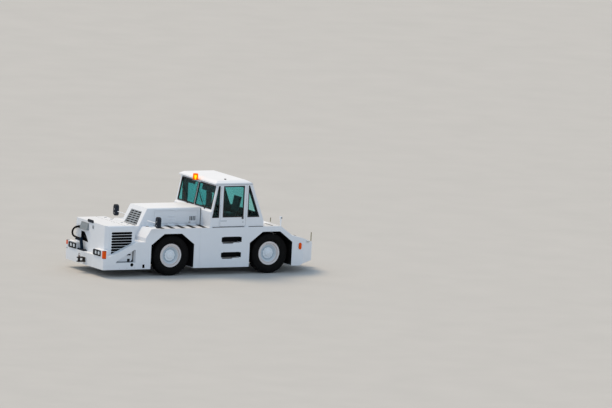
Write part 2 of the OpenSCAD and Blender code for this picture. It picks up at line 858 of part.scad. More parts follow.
// Side windows, outlined [x, z]; a pane of glass fills the same outline
quarter_low = 1830;
side_glass_high = 2815;
front_pillar = 58;
door_pillar = 48;
quarter_pillar = 70;
rear_pillar = 125;
module front_quarter_2d() {
    polygon([
        [screen_x(quarter_low) - front_pillar, quarter_low],
        [screen_x(side_glass_high) - front_pillar, side_glass_high],
        [fx(-door_front) + door_pillar, side_glass_high],
        [fx(-door_front) + door_pillar, quarter_low]
    ]);
}
module rear_quarter_2d() {
    x1 = fx(-door_front - door_len) - quarter_pillar;
    polygon([
        [x1, quarter_low], [x1, side_glass_high],
        [rear_x(side_glass_high) + rear_pillar, side_glass_high],
        [rear_x(quarter_low) + rear_pillar, quarter_low]
    ]);
}
// Windscreen panes either side of the centre bar, and the rear window
screen_bar = 40;
screen_side = 95;
rear_glass_side = 325;
rear_glass_low = 1900;
rear_glass_high = 2700;
module screen_block(s, depth0, depth1) {
    y0 = screen_bar / 2;
    y1 = cab_half - screen_side;
    plate_xz([
        [screen_x(glass_low) - depth1, glass_low], [screen_x(glass_high) - depth1, glass_high],
        [screen_x(glass_high) - depth0, glass_high], [screen_x(glass_low) - depth0, glass_low]
    ], s > 0 ? y0 : -y1, s > 0 ? y1 : -y0);
}
module rear_block(depth0, depth1) {
    y1 = cab_half - rear_glass_side;
    plate_xz([
        [rear_x(rear_glass_low) + depth0, rear_glass_low],
        [rear_x(rear_glass_high) + depth0, rear_glass_high],
        [rear_x(rear_glass_high) + depth1, rear_glass_high],
        [rear_x(rear_glass_low) + depth1, rear_glass_low]
    ], -y1, y1);
}
module side_cut() {
    translate([0, cab_half + over, 0]) rotate([90, 0, 0])
        linear_extrude(2 * (cab_half + over)) children();
}
module cab_shell() {
    color(white) difference() {
        cab_form(0, cab_low, eave_z);
        cab_form(cab_wall, cab_low - over, eave_z + over);
        // Door openings
        block([fx(-door_front - door_len), -cab_half - over, cab_low + sill_h],
            [fx(-door_front), cab_half + over, eave_z + over]);
        side_cut() front_quarter_2d();
        side_cut() rear_quarter_2d();
        for (s = [-1, 1]) screen_block(s, -over, cab_wall + over);
        rear_block(-over, cab_wall + over);
    }
    color(white) for (z = door_hinges) both_sides() hinge_leaf(z, 1);
}

// Door hinge at height z: the pillar's two outer barrels, or the door's middle barrel
hinge_r = 9;
hinge_out = 15;
hinge_barrel = 50;
// Leaf of a door hinge: [thickness, reach past the gap, width of the end on the panel]
hinge_leaf_size = [5, 30, 16];
door_hinges = [1640, 2200, 2760];
function hinge_x() = fx(-door_front) - door_gap / 2;
module hinge_leaf(z, pillar) {
    y = cab_half + hinge_out;
    w = hinge_leaf_size[2];
    side = pillar ? 1 : -1;
    x1 = hinge_x() + side * (door_gap / 2 + hinge_leaf_size[1]);
    for (k = pillar ? [-1, 1] : [0]) {
        z0 = z + k * (hinge_barrel + hinge_gap) - hinge_barrel / 2;
        bar_z(hinge_x(), y, z0, z0 + hinge_barrel, 2 * hinge_r);
        block([min(hinge_x(), x1), y - hinge_leaf_size[0], z0], [max(hinge_x(), x1), y, z0 + hinge_barrel]);
        block([min(x1, x1 - side * w), cab_half - 1, z0], [max(x1, x1 - side * w), y, z0 + hinge_barrel]);
    }
}

// Roof cap, crowned, with a gutter and an overhang over the windscreen
roof_rear_over = 5;
gutter_h = 22;
gutter_in = 10;
roof_edge_h = 48;
roof_nose = 130;
roof_tail = 160;
roof_crown_y = 120;
vent_x = 1955;
vent_y = 878;
vent_d = 60;
vent_h = 14;
module cab_roof() {
    x1 = screen_x(eave_z) + roof_front_over;
    x0 = rear_x(eave_z) - roof_rear_over;
    color(white) {
        intersection() {
            plate_xz([
                [x1, eave_z], [x1, eave_z + gutter_h], [x1 - gutter_in, eave_z + gutter_h],
                [x1 - 2 * gutter_in, eave_z + roof_edge_h], [x1 - roof_nose, eave_z + roof_h],
                [x0 + roof_tail, eave_z + roof_h], [x0, eave_z + gutter_h], [x0, eave_z]
            ], -cab_half, cab_half);
            plate_yz(x0 - over, x1 + over) polygon([
                [-cab_half, eave_z], [-cab_half, eave_z + roof_edge_h],
                [-cab_half + roof_crown_y, eave_z + roof_h + 1], [cab_half - roof_crown_y, eave_z + roof_h + 1],
                [cab_half, eave_z + roof_edge_h], [cab_half, eave_z]
            ]);
        }
        bar_z(fx(-vent_x), vent_y, eave_z + gutter_h, eave_z + roof_h + vent_h, vent_d);
    }
}

// Floor of the cab, on the decks
floor_gap = 1;
module cab_floor() {
    y = cab_half - cab_wall - floor_gap;
    color(dark) block([fx(-cab_rear) + cab_wall + floor_gap, -y, cab_low],
        [fx(-cab_front) - cab_wall - floor_gap, y, floor_top]);
}

// Dashboard with the steering column and wheel
dash_gap = 2;
dash_side = 75;
dash_top = 1980;
dash_len = 285;
dash_lip = [40, 130];
dash_foot = 160;
column_x = 1640;
column_y = 560;
column_z = 1880;
column_tilt = 30;
column_d = 60;
column_in = 70;
column_len = 180;
wheel_r = 200;
wheel_rim_d = 30;
wheel_hub_d = 110;
wheel_hub_h = 40;
spoke_from = 30;
spoke_w = 28;
spoke_t = 14;
module dashboard() {
    x1 = fx(-cab_front) - cab_wall - dash_gap;
    y1 = cab_half - cab_wall - dash_side;
    color(dark) {
        plate_xz([
            [x1, floor_top], [x1, dash_top], [x1 - dash_len, dash_top - dash_lip[0]],
            [x1 - dash_len, dash_top - dash_lip[1]], [x1 - dash_foot, floor_top]
        ], -y1, y1);
        translate([fx(-column_x), column_y, column_z]) rotate([0, -column_tilt, 0]) {
            wheel_h = column_len - column_in + spoke_t / 2 + 3;
            translate([0, 0, -column_in]) cylinder(h = column_len, d = column_d);
            translate([0, 0, wheel_h - wheel_hub_h / 2]) cylinder(h = wheel_hub_h, d = wheel_hub_d);
            translate([0, 0, wheel_h]) rotate_extrude() translate([wheel_r, 0]) circle(d = wheel_rim_d);
            for (a = [90, 210, 330]) rotate([0, 0, a])
                translate([spoke_from, -spoke_w / 2, wheel_h - spoke_t / 2])
                    cube([wheel_r - spoke_from - 2, spoke_w, spoke_t]);
        }
    }
}

// Seats for the driver and a mate: base, cushion and back
seat_places = [560, -560];
seat_front = 2060;
cushion = [500, 500, 120];
base = [320, 400, 220];
base_in = 70;
back_h = 680;
back_t = 80;
back_lean = 120;
back_w = 480;
module seats() {
    z1 = floor_top + base[2];
    z2 = z1 + cushion[2];
    xr = fx(-seat_front) - cushion[0];
    color(dark) for (y = seat_places) {
        block([fx(-seat_front - base_in) - base[0], y - base[1] / 2, floor_top],
            [fx(-seat_front - base_in), y + base[1] / 2, z1]);
        block([xr, y - cushion[1] / 2, z1], [fx(-seat_front), y + cushion[1] / 2, z2]);
        plate_xz([
            [xr + back_lean, z2], [xr, z1 + back_h], [xr - back_t, z1 + back_h],
            [xr, z1], [xr + back_lean / 2, z1]
        ], y - back_w / 2, y + back_w / 2);
    }
}

// Fixed glass
glass_in = 18;
module windscreen() {
    color(teal) for (s = [-1, 1])
        screen_block(s, glass_in, glass_in + glass_t);
}
module cab_glass() {
    color(teal) {
        both_sides() translate([0, cab_half - glass_in, 0]) rotate([90, 0, 0])
            linear_extrude(glass_t) {
                front_quarter_2d();
                rear_quarter_2d();
            }
        rear_block(glass_in, glass_in + glass_t);
    }
}

// Doors, hinged at their front edges
door_low = cab_low + sill_h + door_gap;
door_high = eave_z - door_gap;
window_low = 1840;
window_high = 2810;
window_front = 108;
window_rear = 100;
// Handle at the rear edge: [distance from the edge, width, how far it stands out], [low, high]
handle = [102, 26, 14];
handle_z = [1770, 1860];
module door_window(y0, y1) {
    block([fx(-door_front - door_len) + window_rear, y0, window_low],
        [fx(-door_front) - window_front, y1, window_high]);
}
module door() {
    color(white) {
        difference() {
            block([fx(-door_front - door_len) + door_gap, cab_half - cab_wall, door_low],
                [fx(-door_front) - door_gap, cab_half, door_high]);
            door_window(cab_half - cab_wall - over, cab_half + over);
        }
        block([fx(-door_front - door_len) + handle[0], cab_half - 2, handle_z[0]],
            [fx(-door_front - door_len) + handle[0] + handle[1], cab_half + handle[2], handle_z[1]]);
        for (z = door_hinges) hinge_leaf(z, 0);
    }
}
module door_left() {
    door();
}
module door_right() {
    mirror([0, 1, 0]) door();
}
module door_glass() {
    color(teal) door_window(cab_half - glass_in - glass_t, cab_half - glass_in);
}
module door_glass_left() {
    door_glass();
}
module door_glass_right() {
    mirror([0, 1, 0]) door_glass();
}

// Warning beacon on a bracket under the roof's front edge
beacon_base_d = 186;
beacon_d = 180;
beacon_base_h = 20;
beacon_h = 185;
beacon_gap = 5;
beacon_y = 60;
bracket_half = 70;
bracket_t = 12;
bracket_gap = 12;
module beacon() {
    x = screen_x(eave_z) + roof_front_over + beacon_gap + beacon_base_d / 2;
    color(orange) {
        block([screen_x(eave_z) + bracket_gap, beacon_y - bracket_half, eave_z - bracket_t],
            [x + bracket_half, beacon_y + bracket_half, eave_z]);
        translate([x, beacon_y, eave_z]) {
            cylinder(h = beacon_base_h, d = beacon_base_d);
            translate([0, 0, beacon_base_h]) cylinder(h = beacon_h - 15, d1 = beacon_d, d2 = beacon_d - 12);
            translate([0, 0, beacon_base_h + beacon_h - 15])
                cylinder(h = 15, d1 = beacon_d - 12, d2 = beacon_d - 40);
        }
    }
}

// Headlamps: a black frame with two square lamps on each side
lamp_frame_half = 235;
lamp_frame_z = [655, 830];
lamp_frame_t = 14;
lamp_step = 112;
lamp_half = 85;
lamp_margin = 12;
lamp_t = 12;
module headlamps() {
    x0 = fx(bumper_front);
    x1 = x0 + lamp_frame_t;
    color(dark) both_sides() {
        block([x0, lamp_y - lamp_frame_half, lamp_frame_z[0]],
            [x1, lamp_y + lamp_frame_half, lamp_frame_z[1]]);
        for (s = [-1, 1])
            block([x1, lamp_y + s * lamp_step - lamp_half, lamp_frame_z[0] + lamp_margin],
                [x1 + lamp_t, lamp_y + s * lamp_step + lamp_half, lamp_frame_z[1] - lamp_margin]);
    }
}

// Orange indicators in the front corners and oval markers at the rear ends of the sides
lens_out = 10;
marker_x = tail_x - 130;
marker_z = 860;
marker_len = 220;
marker_w = 110;
marker_t = 20;
module indicators() {
    color(orange) both_sides() {
        block([fx(bumper_front - lamp_corner_len), half_w - lamp_corner_w, lamp_corner_z],
            [fx(bumper_front) + lens_out, half_w + lens_out, lamp_box_z]);
        translate([fx(-marker_x), half_w, marker_z]) rotate([-90, 90, 0])
            linear_extrude(marker_t) slot_2d(marker_len, marker_w);
    }
}

// Tail lamps on the tail's rear face and the work lamp on its post
tail_lamp_y = [380, 560];
tail_lamp_z = [740, 830];
tail_lamp_t = 16;
work_lamp_half = 34;
work_lamp_h = 100;
module rear_lamps() {
    color([0.7, 0.1, 0.08]) both_sides()
        block([tail_rear_x() - tail_lamp_t, tail_lamp_y[0], tail_lamp_z[0]],
            [tail_rear_x(), tail_lamp_y[1], tail_lamp_z[1]]);
    color(dark) block(
        [fx(-lamp_post_x) - work_lamp_half, lamp_post_y - work_lamp_half, lamp_post_z],
        [fx(-lamp_post_x) + work_lamp_half, lamp_post_y + work_lamp_half, lamp_post_z + work_lamp_h]);
}

// Mirrors on arms from the deck, and the oval mirror over the nose's front edge
mirror_x = 660;
mirror_out = 170;
mirror_size = [110, 240, 360];
mirror_low = 1555;
mirror_arm_y = 700;
mirror_arm_z = 1700;
mirror_arm_d = 26;
oval_y = 20;
oval_len = 380;
oval_h = 96;
oval_t = 34;
oval_rise = 17;
module mirrors() {
    y1 = half_w + mirror_out;
    color(dark) {
        both_sides() {
            block([fx(mirror_x) - mirror_size[0] / 2, y1 - mirror_size[1] / 2, mirror_low],
                [fx(mirror_x) + mirror_size[0] / 2, y1 + mirror_size[1] / 2, mirror_low + mirror_size[2]]);
            bar_y(fx(mirror_x), mirror_arm_z, mirror_arm_y, y1 - mirror_size[1] / 2 + over, mirror_arm_d);
            bar_z(fx(mirror_x), mirror_arm_y, deck_z, mirror_arm_z + mirror_arm_d / 2, mirror_arm_d);
        }
        translate([fx(nose_front), oval_y, nose_z + oval_rise]) rotate([90, 0, 90])
            linear_extrude(oval_t) slot_2d(oval_len, oval_h);
    }
}

// Towing couplings: two plates with pin holes on a back plate
back_plate_t = 21;
front_hitch_half = 110;
rear_hitch_half = 120;
front_tip_r = 75;
rear_tip_r = 90;
module coupling(reach, half, tip_r) {
    h = hitch_gap + 2 * plate_t;
    difference() {
        union() {
            translate([0, -half, -h / 2]) cube([back_plate_t, 2 * half, h]);
            for (s = [-1, 1]) translate([0, 0, s * (hitch_gap + plate_t) / 2 - plate_t / 2]) {
                linear_extrude(plate_t) polygon([
                    [0, half], [reach - tip_r, tip_r], [reach - tip_r, -tip_r], [0, -half]
                ]);
                translate([reach - tip_r, 0, 0]) cylinder(h = plate_t, r = tip_r);
            }
        }
        translate([reach - tip_r, 0, -h]) cylinder(h = 2 * h, d = pin_d);
    }
}
module front_hitch() {
    color(white) translate([fx(bumper_front), 0, front_hitch_z])
        coupling(hitch_reach, front_hitch_half, front_tip_r);
}
module rear_hitch() {
    color(dark) translate([tail_rear_x(), 0, rear_hitch_z]) mirror([1, 0, 0])
        coupling(hitch_reach, rear_hitch_half, rear_tip_r);
}

// Connector box on the nose with its sloping flap, and the post that holds the cable's other end
flap_y = [-600, -115];
flap_z = [1303, 1525];
flap_out = 74;
flap_top_out = 12;
post_y = -360;
post_half = 41;
post_foot_x = 2370;
post_top_x = 2430;
post_top_z = 1050;
post_arm = [-740, 935, 975];
foot_half = 210;
foot_len = 60;
foot_h = 40;
module connector_box() {
    color(grey) {
        plate_xz([
            [fx(nose_front), flap_z[0]], [fx(nose_front) + flap_out, flap_z[0]],
            [fx(nose_front) + flap_top_out, flap_z[1]], [fx(nose_front), flap_z[1]]
        ], flap_y[0], flap_y[1]);
        plate_xz([
            [fx(post_foot_x) - post_half, bumper_z], [fx(post_foot_x) + post_half, bumper_z],
            [fx(post_top_x) + post_half, post_top_z], [fx(post_top_x) - post_half, post_top_z]
        ], post_y - post_half, post_y + post_half);
        block([fx(post_top_x) - 2 * post_half / 3 - over / 2, post_arm[0], post_arm[1]],
            [fx(post_top_x) + over / 2, post_y, post_arm[2]]);
        block([fx(post_foot_x) - foot_len, post_y - foot_half, bumper_z],
            [fx(post_foot_x) + foot_len, post_y + foot_half, bumper_z + foot_h]);
    }
}

// Towing cable, looped from the connector box to its post
cable_d = 60;
cable_points = [
    [3776, -600, 1345], [3776, -660, 1345], [3790, -750, 1338], [3816, -840, 1310],
    [3846, -908, 1260], [3866, -945, 1198], [3876, -948, 1132], [3880, -915, 1076],
    [3880, -855, 1040], [3878, -770, 1022], [3876, -680, 1014], [3875, -580, 1011],
    [3875, -480, 1010], [3875, -401, 1010]
];
cable_sides = 8;
function cable_dir(i) =
    let (a = cable_points[max(i - 1, 0)], b = cable_points[min(i + 1, len(cable_points) - 1)])
    (b - a) / norm(b - a);
module cable() {
    n = len(cable_points);
    pts = [
        for (i = [0:n - 1])
            let (d = cable_dir(i), u = [1, 0, 0] - d * d[0], a = u / norm(u), b = cross(d, a))
            for (k = [0:cable_sides - 1])
                cable_points[i] + cable_d / 2 * (a * cos(360 * k / cable_sides) + b * sin(360 * k / cable_sides))
    ];
    faces = concat(
        [[for (k = [cable_sides - 1:-1:0]) k]],
        [for (i = [0:n - 2], k = [0:cable_sides - 1])
            [i * cable_sides + k, i * cable_sides + (k + 1) % cable_sides,
                (i + 1) * cable_sides + (k + 1) % cable_sides, (i + 1) * cable_sides + k]],
        [[for (k = [0:cable_sides - 1]) (n - 1) * cable_sides + k]]
    );
    color(dark) polyhedron(pts, faces);
}

chassis();
front_bumper();
nose_body();
nose_louvres();
side_left();
side_right();
rear_body();
hood();
hood_grille();
hood_door_left();
hood_door_right();
radiator();
powertrain();
front_axle();
knuckle_left();
knuckle_right();
rear_axle();
rim_front_left();
rim_front_right();
rim_rear_left();
rim_rear_right();
tyre_front_left();
tyre_front_right();
tyre_rear_left();
tyre_rear_right();
cab_shell();
cab_roof();
cab_floor();
dashboard();
seats();
windscreen();
cab_glass();
door_left();
door_right();
door_glass_left();
door_glass_right();
beacon();
headlamps();
indicators();
rear_lamps();
mirrors();
front_hitch();
rear_hitch();
connector_box();
cable();
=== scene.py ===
"""Looks of the aircraft pushback tractor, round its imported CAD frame.

Metres, +X forward, +Y to the driver's left, +Z up, the ground at z = 0.
"""
import math

import bpy
import bmesh
from mathutils import Matrix, Vector


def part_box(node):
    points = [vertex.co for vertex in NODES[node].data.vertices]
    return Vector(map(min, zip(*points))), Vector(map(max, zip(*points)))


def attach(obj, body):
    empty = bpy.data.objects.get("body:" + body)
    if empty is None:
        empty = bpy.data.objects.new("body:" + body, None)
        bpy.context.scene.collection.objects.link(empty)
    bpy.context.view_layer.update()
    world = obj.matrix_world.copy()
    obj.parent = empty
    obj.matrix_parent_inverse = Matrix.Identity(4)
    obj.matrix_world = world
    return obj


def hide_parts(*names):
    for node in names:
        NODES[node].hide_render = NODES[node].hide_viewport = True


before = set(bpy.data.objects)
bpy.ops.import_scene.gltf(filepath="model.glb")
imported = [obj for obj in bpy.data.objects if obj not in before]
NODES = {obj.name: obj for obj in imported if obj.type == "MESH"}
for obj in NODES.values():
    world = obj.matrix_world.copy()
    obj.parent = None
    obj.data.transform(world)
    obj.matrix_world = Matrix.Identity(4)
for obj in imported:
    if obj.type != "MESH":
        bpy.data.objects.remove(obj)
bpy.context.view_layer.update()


def span(node, axis):
    """A node's lowest and highest place on an axis, to the millimetre."""
    return [round(corner[axis], 3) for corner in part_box(node)]


def middle(node, axis):
    return round(sum(span(node, axis)) / 2, 3)


# Driving sizes, read from the frame
X, Y, Z = range(3)
AXLE_X = middle("front_axle", X)
WHEELBASE = span("tyre_front_left", X)[1] - span("tyre_rear_left", X)[1]
REAR_X = round(AXLE_X - WHEELBASE, 3)
AXLE_Z = middle("tyre_front_left", Z)
WHEEL_Y = middle("tyre_front_left", Y)
SIDE_IN, HALF_W = span("side_left", Y)
DECK_Z = span("side_left", Z)[1]
FLOOR_Z = span("cab_floor", Z)[1]
CAB_REAR, CAB_FRONT = span("cab_shell", X)
CAB_HALF, ROOF_LOW = span("cab_roof", Y)[1], span("cab_roof", Z)[0]
SCREEN_HALF = span("windscreen", Y)[1]
SCREEN_FOOT, SCREEN_TOP = span("windscreen", Z)
NOSE_X, NOSE_TOP = span("nose_body", X)[1], span("nose_body", Z)[1]
WEIGHT_X = span("front_bumper", X)[1]
TAIL_X = span("rear_body", X)[0]
# The flat outer face of the hood's side doors
HOOD_HALF = 0.57
# How far the windscreen and the cab's rear wall lean, in metres for each metre of height
SCREEN_LEAN, REAR_LEAN = 0.1912, 0.3888889
# The height at which the cab's rear wall starts to lean
REAR_FOOT = 1.7


def fx(d):
    """Place at distance d ahead of the front axle."""
    return AXLE_X + d


def screen_x(z):
    """Outer face of the sloping windscreen at height z."""
    return fx(-1.369 - (z - SCREEN_FOOT) * SCREEN_LEAN)


def rear_x(z):
    """Outer face of the cab's sloping rear wall at height z."""
    return CAB_REAR + max(0.0, z - REAR_FOOT) * REAR_LEAN


def link(name, data):
    """A new object in the scene."""
    obj = bpy.data.objects.new(name, data)
    bpy.context.scene.collection.objects.link(obj)
    return obj


# Camera: the photograph's size and scale in pixels, how far one metre along X, Y and Z moves a
# point to the right and up in it, and where it shows the ground under the front axle's middle
PHOTO_W, PHOTO_H = 612, 408
PX_PER_M = 31.695
PX_RIGHT, PX_UP = Vector((-27.79, 15.15, 1.644)), Vector((-0.632, -4.561, 31.36))
AXLE_PX = 152.68, 270.26
LENS, SENSOR = 900, 36


def make_camera():
    """A long lens from far off, because the photograph is nearly parallel."""
    data = bpy.data.cameras.new("camera")
    cam = link("camera", data)
    right = PX_RIGHT.normalized()
    up = (PX_UP - right * PX_UP.dot(right)).normalized()
    back = right.cross(up)
    across, over = PHOTO_W / 2 - AXLE_PX[0], AXLE_PX[1] - PHOTO_H / 2
    target = Vector((AXLE_X, 0, 0)) + right * (across / PX_PER_M) + up * (over / PX_PER_M)
    distance = round(LENS / SENSOR * PHOTO_W / PX_PER_M, 2)
    turn = Matrix((right, up, back)).transposed().to_4x4()
    cam.matrix_world = Matrix.Translation(target + back * distance) @ turn
    data.sensor_width, data.lens = SENSOR, LENS
    data.clip_start, data.clip_end = 1, 1200
    bpy.context.scene.camera = cam


make_camera()


# Materials
class Nodes:
    """Short calls for a material's node tree."""

    def __init__(self, name):
        self.mat = bpy.data.materials.new(name)
        self.mat.use_nodes = True
        self.tree = self.mat.node_tree
        self.shader = self.tree.nodes["Principled BSDF"]
        self.coord = self.add("ShaderNodeTexCoord").outputs["Object"]

    def add(self, kind, **values):
        node = self.tree.nodes.new(kind)
        for key, value in values.items():
            setattr(node, key, value)
        return node

    def link(self, a, b):
        self.tree.links.new(a, b)

    def give(self, value, socket):
        """Sets a socket to a number or colour, or links it."""
        if isinstance(value, (int, float)):
            socket.default_value = value
        elif isinstance(value, tuple):
            socket.default_value = (*value, 1)
        else:
            self.link(value, socket)

    def set(self, **values):
        for key, value in values.items():
            self.shader.inputs[key.replace("_", " ")].default_value = value

    def noise(self, scale, detail=4, stretch=(1, 1, 1), roughness=0.5):
        mapping = self.add("ShaderNodeMapping")
        mapping.inputs["Scale"].default_value = stretch
        self.link(self.coord, mapping.inputs["Vector"])
        node = self.add("ShaderNodeTexNoise")
        node.inputs["Scale"].default_value = scale
        node.inputs["Detail"].default_value = detail
        node.inputs["Roughness"].default_value = roughness
        self.link(mapping.outputs[0], node.inputs["Vector"])
        return node.outputs["Fac"]

    def wave(self, direction, scale, distortion=0.0):
        node = self.add("ShaderNodeTexWave", bands_direction=direction)
        node.inputs["Scale"].default_value = scale
        node.inputs["Distortion"].default_value = distortion
        self.link(self.coord, node.inputs["Vector"])
        return node.outputs["Fac"]

    def remap(self, value, a, b, c, d):
        """Takes a..b to c..d, and holds its ends."""
        node = self.add("ShaderNodeMapRange")
        self.link(value, node.inputs["Value"])
        for i, v in enumerate((a, b, c, d)):
            node.inputs[i + 1].default_value = v
        return node.outputs[0]

    def spread(self, value, c, d):
        """Takes the usual range of a noise to c..d."""
        return self.remap(value, 0.3, 0.7, c, d)

    def math(self, kind, a, b):
        node = self.add("ShaderNodeMath", operation=kind)
        self.give(a, node.inputs[0])
        self.give(b, node.inputs[1])
        return node.outputs[0]

    def mix(self, fac, a, b):
        node = self.add("ShaderNodeMix", data_type="RGBA")
        for i, v in ((0, fac), (6, a), (7, b)):
            self.give(v, node.inputs[i])
        return node.outputs[2]

    def axis(self, name):
        node = self.add("ShaderNodeSeparateXYZ")
        self.link(self.coord, node.inputs[0])
        return node.outputs[name]

    def bump(self, height, strength, distance=0.001):
        node = self.add("ShaderNodeBump")
        node.inputs["Strength"].default_value = strength
        node.inputs["Distance"].default_value = distance
        self.link(height, node.inputs["Height"])
        self.link(node.outputs[0], self.shader.inputs["Normal"])

    def colour(self, socket):
        self.link(socket, self.shader.inputs["Base Color"])

    def rough(self, socket):
        self.link(socket, self.shader.inputs["Roughness"])


DUST = (0.36, 0.34, 0.31)
GRIME = (0.16, 0.155, 0.15)


def paint(name, colour, rough=(0.46, 0.54), coat=0.04, dirt=0.12, dirt_top=0.6, zone=None):
    """Sprayed paint: slight shade changes, faint streaks, and grime that thickens to the ground.

    zone(n, colour) may lay a second colour over a part of it.
    """
    n = Nodes(name)
    worn = tuple(c * 0.975 for c in colour)
    base = n.mix(n.remap(n.noise(1.3, 3), 0.35, 0.65, 0, 1), colour, worn)
    if zone:
        base = zone(n, base)
    streaks = n.remap(n.noise(1.0, 5, (9, 9, 0.7), 0.6), 0.55, 0.8, 0, 0.012)
    base = n.mix(streaks, base, DUST)
    low = n.remap(n.axis("Z"), 0.2, dirt_top, 1, 0)
    patches = n.remap(n.noise(5, 6, (1, 1, 0.6), 0.65), 0.35, 0.75, 0.1, 1)
    grime = n.math("MULTIPLY", n.math("MULTIPLY", low, patches), dirt)
    n.colour(n.mix(grime, base, GRIME))
    n.rough(n.math("ADD", n.spread(n.noise(7, 4), *rough), n.math("MULTIPLY", grime, 0.5)))
    n.set(Coat_Weight=coat, Coat_Roughness=0.2, Specular_IOR_Level=0.28)
    return n.mat


def cab_inside_painted_shade(n, base):
    """Painted shade on the cab's inner faces, a little behind its outer ones."""
    skin = 0.012
    x, z = n.axis("X"), n.axis("Z")
    screen = n.math("ADD", x, n.math("MULTIPLY", z, SCREEN_LEAN))
    rear = n.math("SUBTRACT", x, n.math("MULTIPLY", z, REAR_LEAN))
    inside = n.math("LESS_THAN", n.math("ABSOLUTE", n.axis("Y"), 0.0), CAB_HALF - skin)
    for test in (n.math("LESS_THAN", screen, screen_x(0) - skin),
                 n.math("GREATER_THAN", rear, CAB_REAR - REAR_FOOT * REAR_LEAN + skin),
                 n.math("GREATER_THAN", x, CAB_REAR + skin), n.math("LESS_THAN", x, CAB_FRONT - skin),
                 n.math("LESS_THAN", z, ROOF_LOW - 0.006), n.math("GREATER_THAN", z, DECK_Z + 0.004)):
        inside = n.math("MULTIPLY", inside, test)
    # the colour of the painted shade inside the cab
    return n.mix(inside, base, (0.095, 0.11, 0.125))


def rim_shade_and_dust_zone(n, base):
    """By the distance from the axle: the face as it is, painted shade in the groove and on the ring beyond
    it, and a pale dusty flange.
    """
    dz = n.math("SUBTRACT", n.axis("Z"), AXLE_Z)
    both = []
    for x0 in (AXLE_X, REAR_X):
        dx = n.math("SUBTRACT", n.axis("X"), x0)
        both.append(n.math("ADD", n.math("MULTIPLY", dx, dx), n.math("MULTIPLY", dz, dz)))
    r = n.math("SQRT", n.math("MINIMUM", *both), 0.0)
    # two rings of painted shade in the groove, then pale dust on the flange
    for start, end, colour in ((0.172, 0.185, (0.42, 0.50, 0.57)), (0.212, 0.230, (0.60, 0.66, 0.71)),
                               (0.266, 0.282, (0.80, 0.765, 0.76))):
        base = n.mix(n.remap(r, start, end, 0, 1), base, colour)
    return base


def dusty_top_zone(n, base):
    """A thin film of dust on the nose's flat top."""
    film = n.remap(n.axis("Z"), NOSE_TOP - 0.015, NOSE_TOP - 0.002, 0, 0.16)
    return n.mix(film, base, (0.47, 0.465, 0.46))


def hitch_grease_and_gap_shade_zone(n, base):
    """Dark jaws in front of the white back plate: grease on them, and painted shade of the gap between them.
    """
    return n.mix(n.math("GREATER_THAN", n.axis("X"), WEIGHT_X + 0.023), base, (0.022, 0.016, 0.013))


def plain(name, colour, second, rough, scale=18, metallic=0.0, bump=(300, 0.12), coat=0.0, specular=0.5):
    """A base colour that drifts into a second one, with uneven gloss and a fine relief."""
    n = Nodes(name)
    n.colour(n.mix(n.remap(n.noise(scale, 5), 0.35, 0.65, 0, 1), colour, second))
    n.rough(n.spread(n.noise(scale * 2.3, 4), *rough))
    n.set(Metallic=metallic, Coat_Weight=coat, Coat_Roughness=0.1, Specular_IOR_Level=specular)
    n.bump(n.noise(bump[0], 3), bump[1])
    return n.mat


def rubber(name, colour, dust, scale=9, specular=0.5):
    """Matt rubber with dusty spots."""
    n = Nodes(name)
    spots = n.remap(n.noise(scale, 7, roughness=0.7), 0.42, 0.72, 0, 0.55)
    n.colour(n.mix(spots, colour, dust))
    n.rough(n.spread(n.noise(scale * 3, 4), 0.62, 0.85))
    n.set(Specular_IOR_Level=specular)
    n.bump(n.noise(420, 3), 0.2)
    return n.mat


def lens(name, colour, deep, glow=0.0, coat=0.15, specular=0.3):
    """Coloured moulded plastic with a ribbed inside."""
    n = Nodes(name)
    ribs = n.wave("Z", 26)
    n.colour(n.mix(n.math("MULTIPLY", ribs, n.spread(n.noise(30), 0.4, 1)), colour, deep))
    n.rough(n.spread(n.noise(60, 3), 0.12, 0.24))
    n.set(Coat_Weight=coat, Coat_Roughness=0.05, Specular_IOR_Level=specular)
    if glow:
        n.set(Emission_Color=(*colour, 1), Emission_Strength=glow)
    n.bump(ribs, 0.15)
    return n.mat


def glass(name, tint, rough=0.02, clear=1.0, ior=1.16):
    """Tinted glass with a faint film of dirt."""
    n = Nodes(name)
    film = n.remap(n.noise(4, 5, (1, 1, 0.5), 0.6), 0.45, 0.8, 0, 0.12)
    n.colour(n.mix(film, tint, tuple(min(1, c * 1.1 + 0.02) for c in tint)))
    n.rough(n.remap(n.noise(9, 4), 0.4, 0.75, rough, rough + 0.08))
    n.set(Transmission_Weight=clear, IOR=ior, Specular_IOR_Level=0.08)
    return n.mat


def tinted(name, colour, deep, glow):
    """Coloured see-through plastic, lit from within."""
    n = Nodes(name)
    n.colour(n.mix(n.spread(n.noise(14, 3), 0, 1), colour, deep))
    n.rough(n.spread(n.noise(60, 3), 0.02, 0.08))
    n.set(Transmission_Weight=0.85, IOR=1.03, Emission_Color=(*colour, 1), Emission_Strength=glow)
    return n.mat


def fins(name, colour, gap):
    """Thin radiator fins, with painted shade in the gaps between them."""
    n = Nodes(name)
    rows = n.wave("Y", 60, 0.4)
    n.colour(n.mix(rows, gap, colour))
    n.rough(n.spread(n.noise(40), 0.5, 0.75))
    n.set(Metallic=0.4)
    n.bump(rows, 0.6, 0.002)
    return n.mat


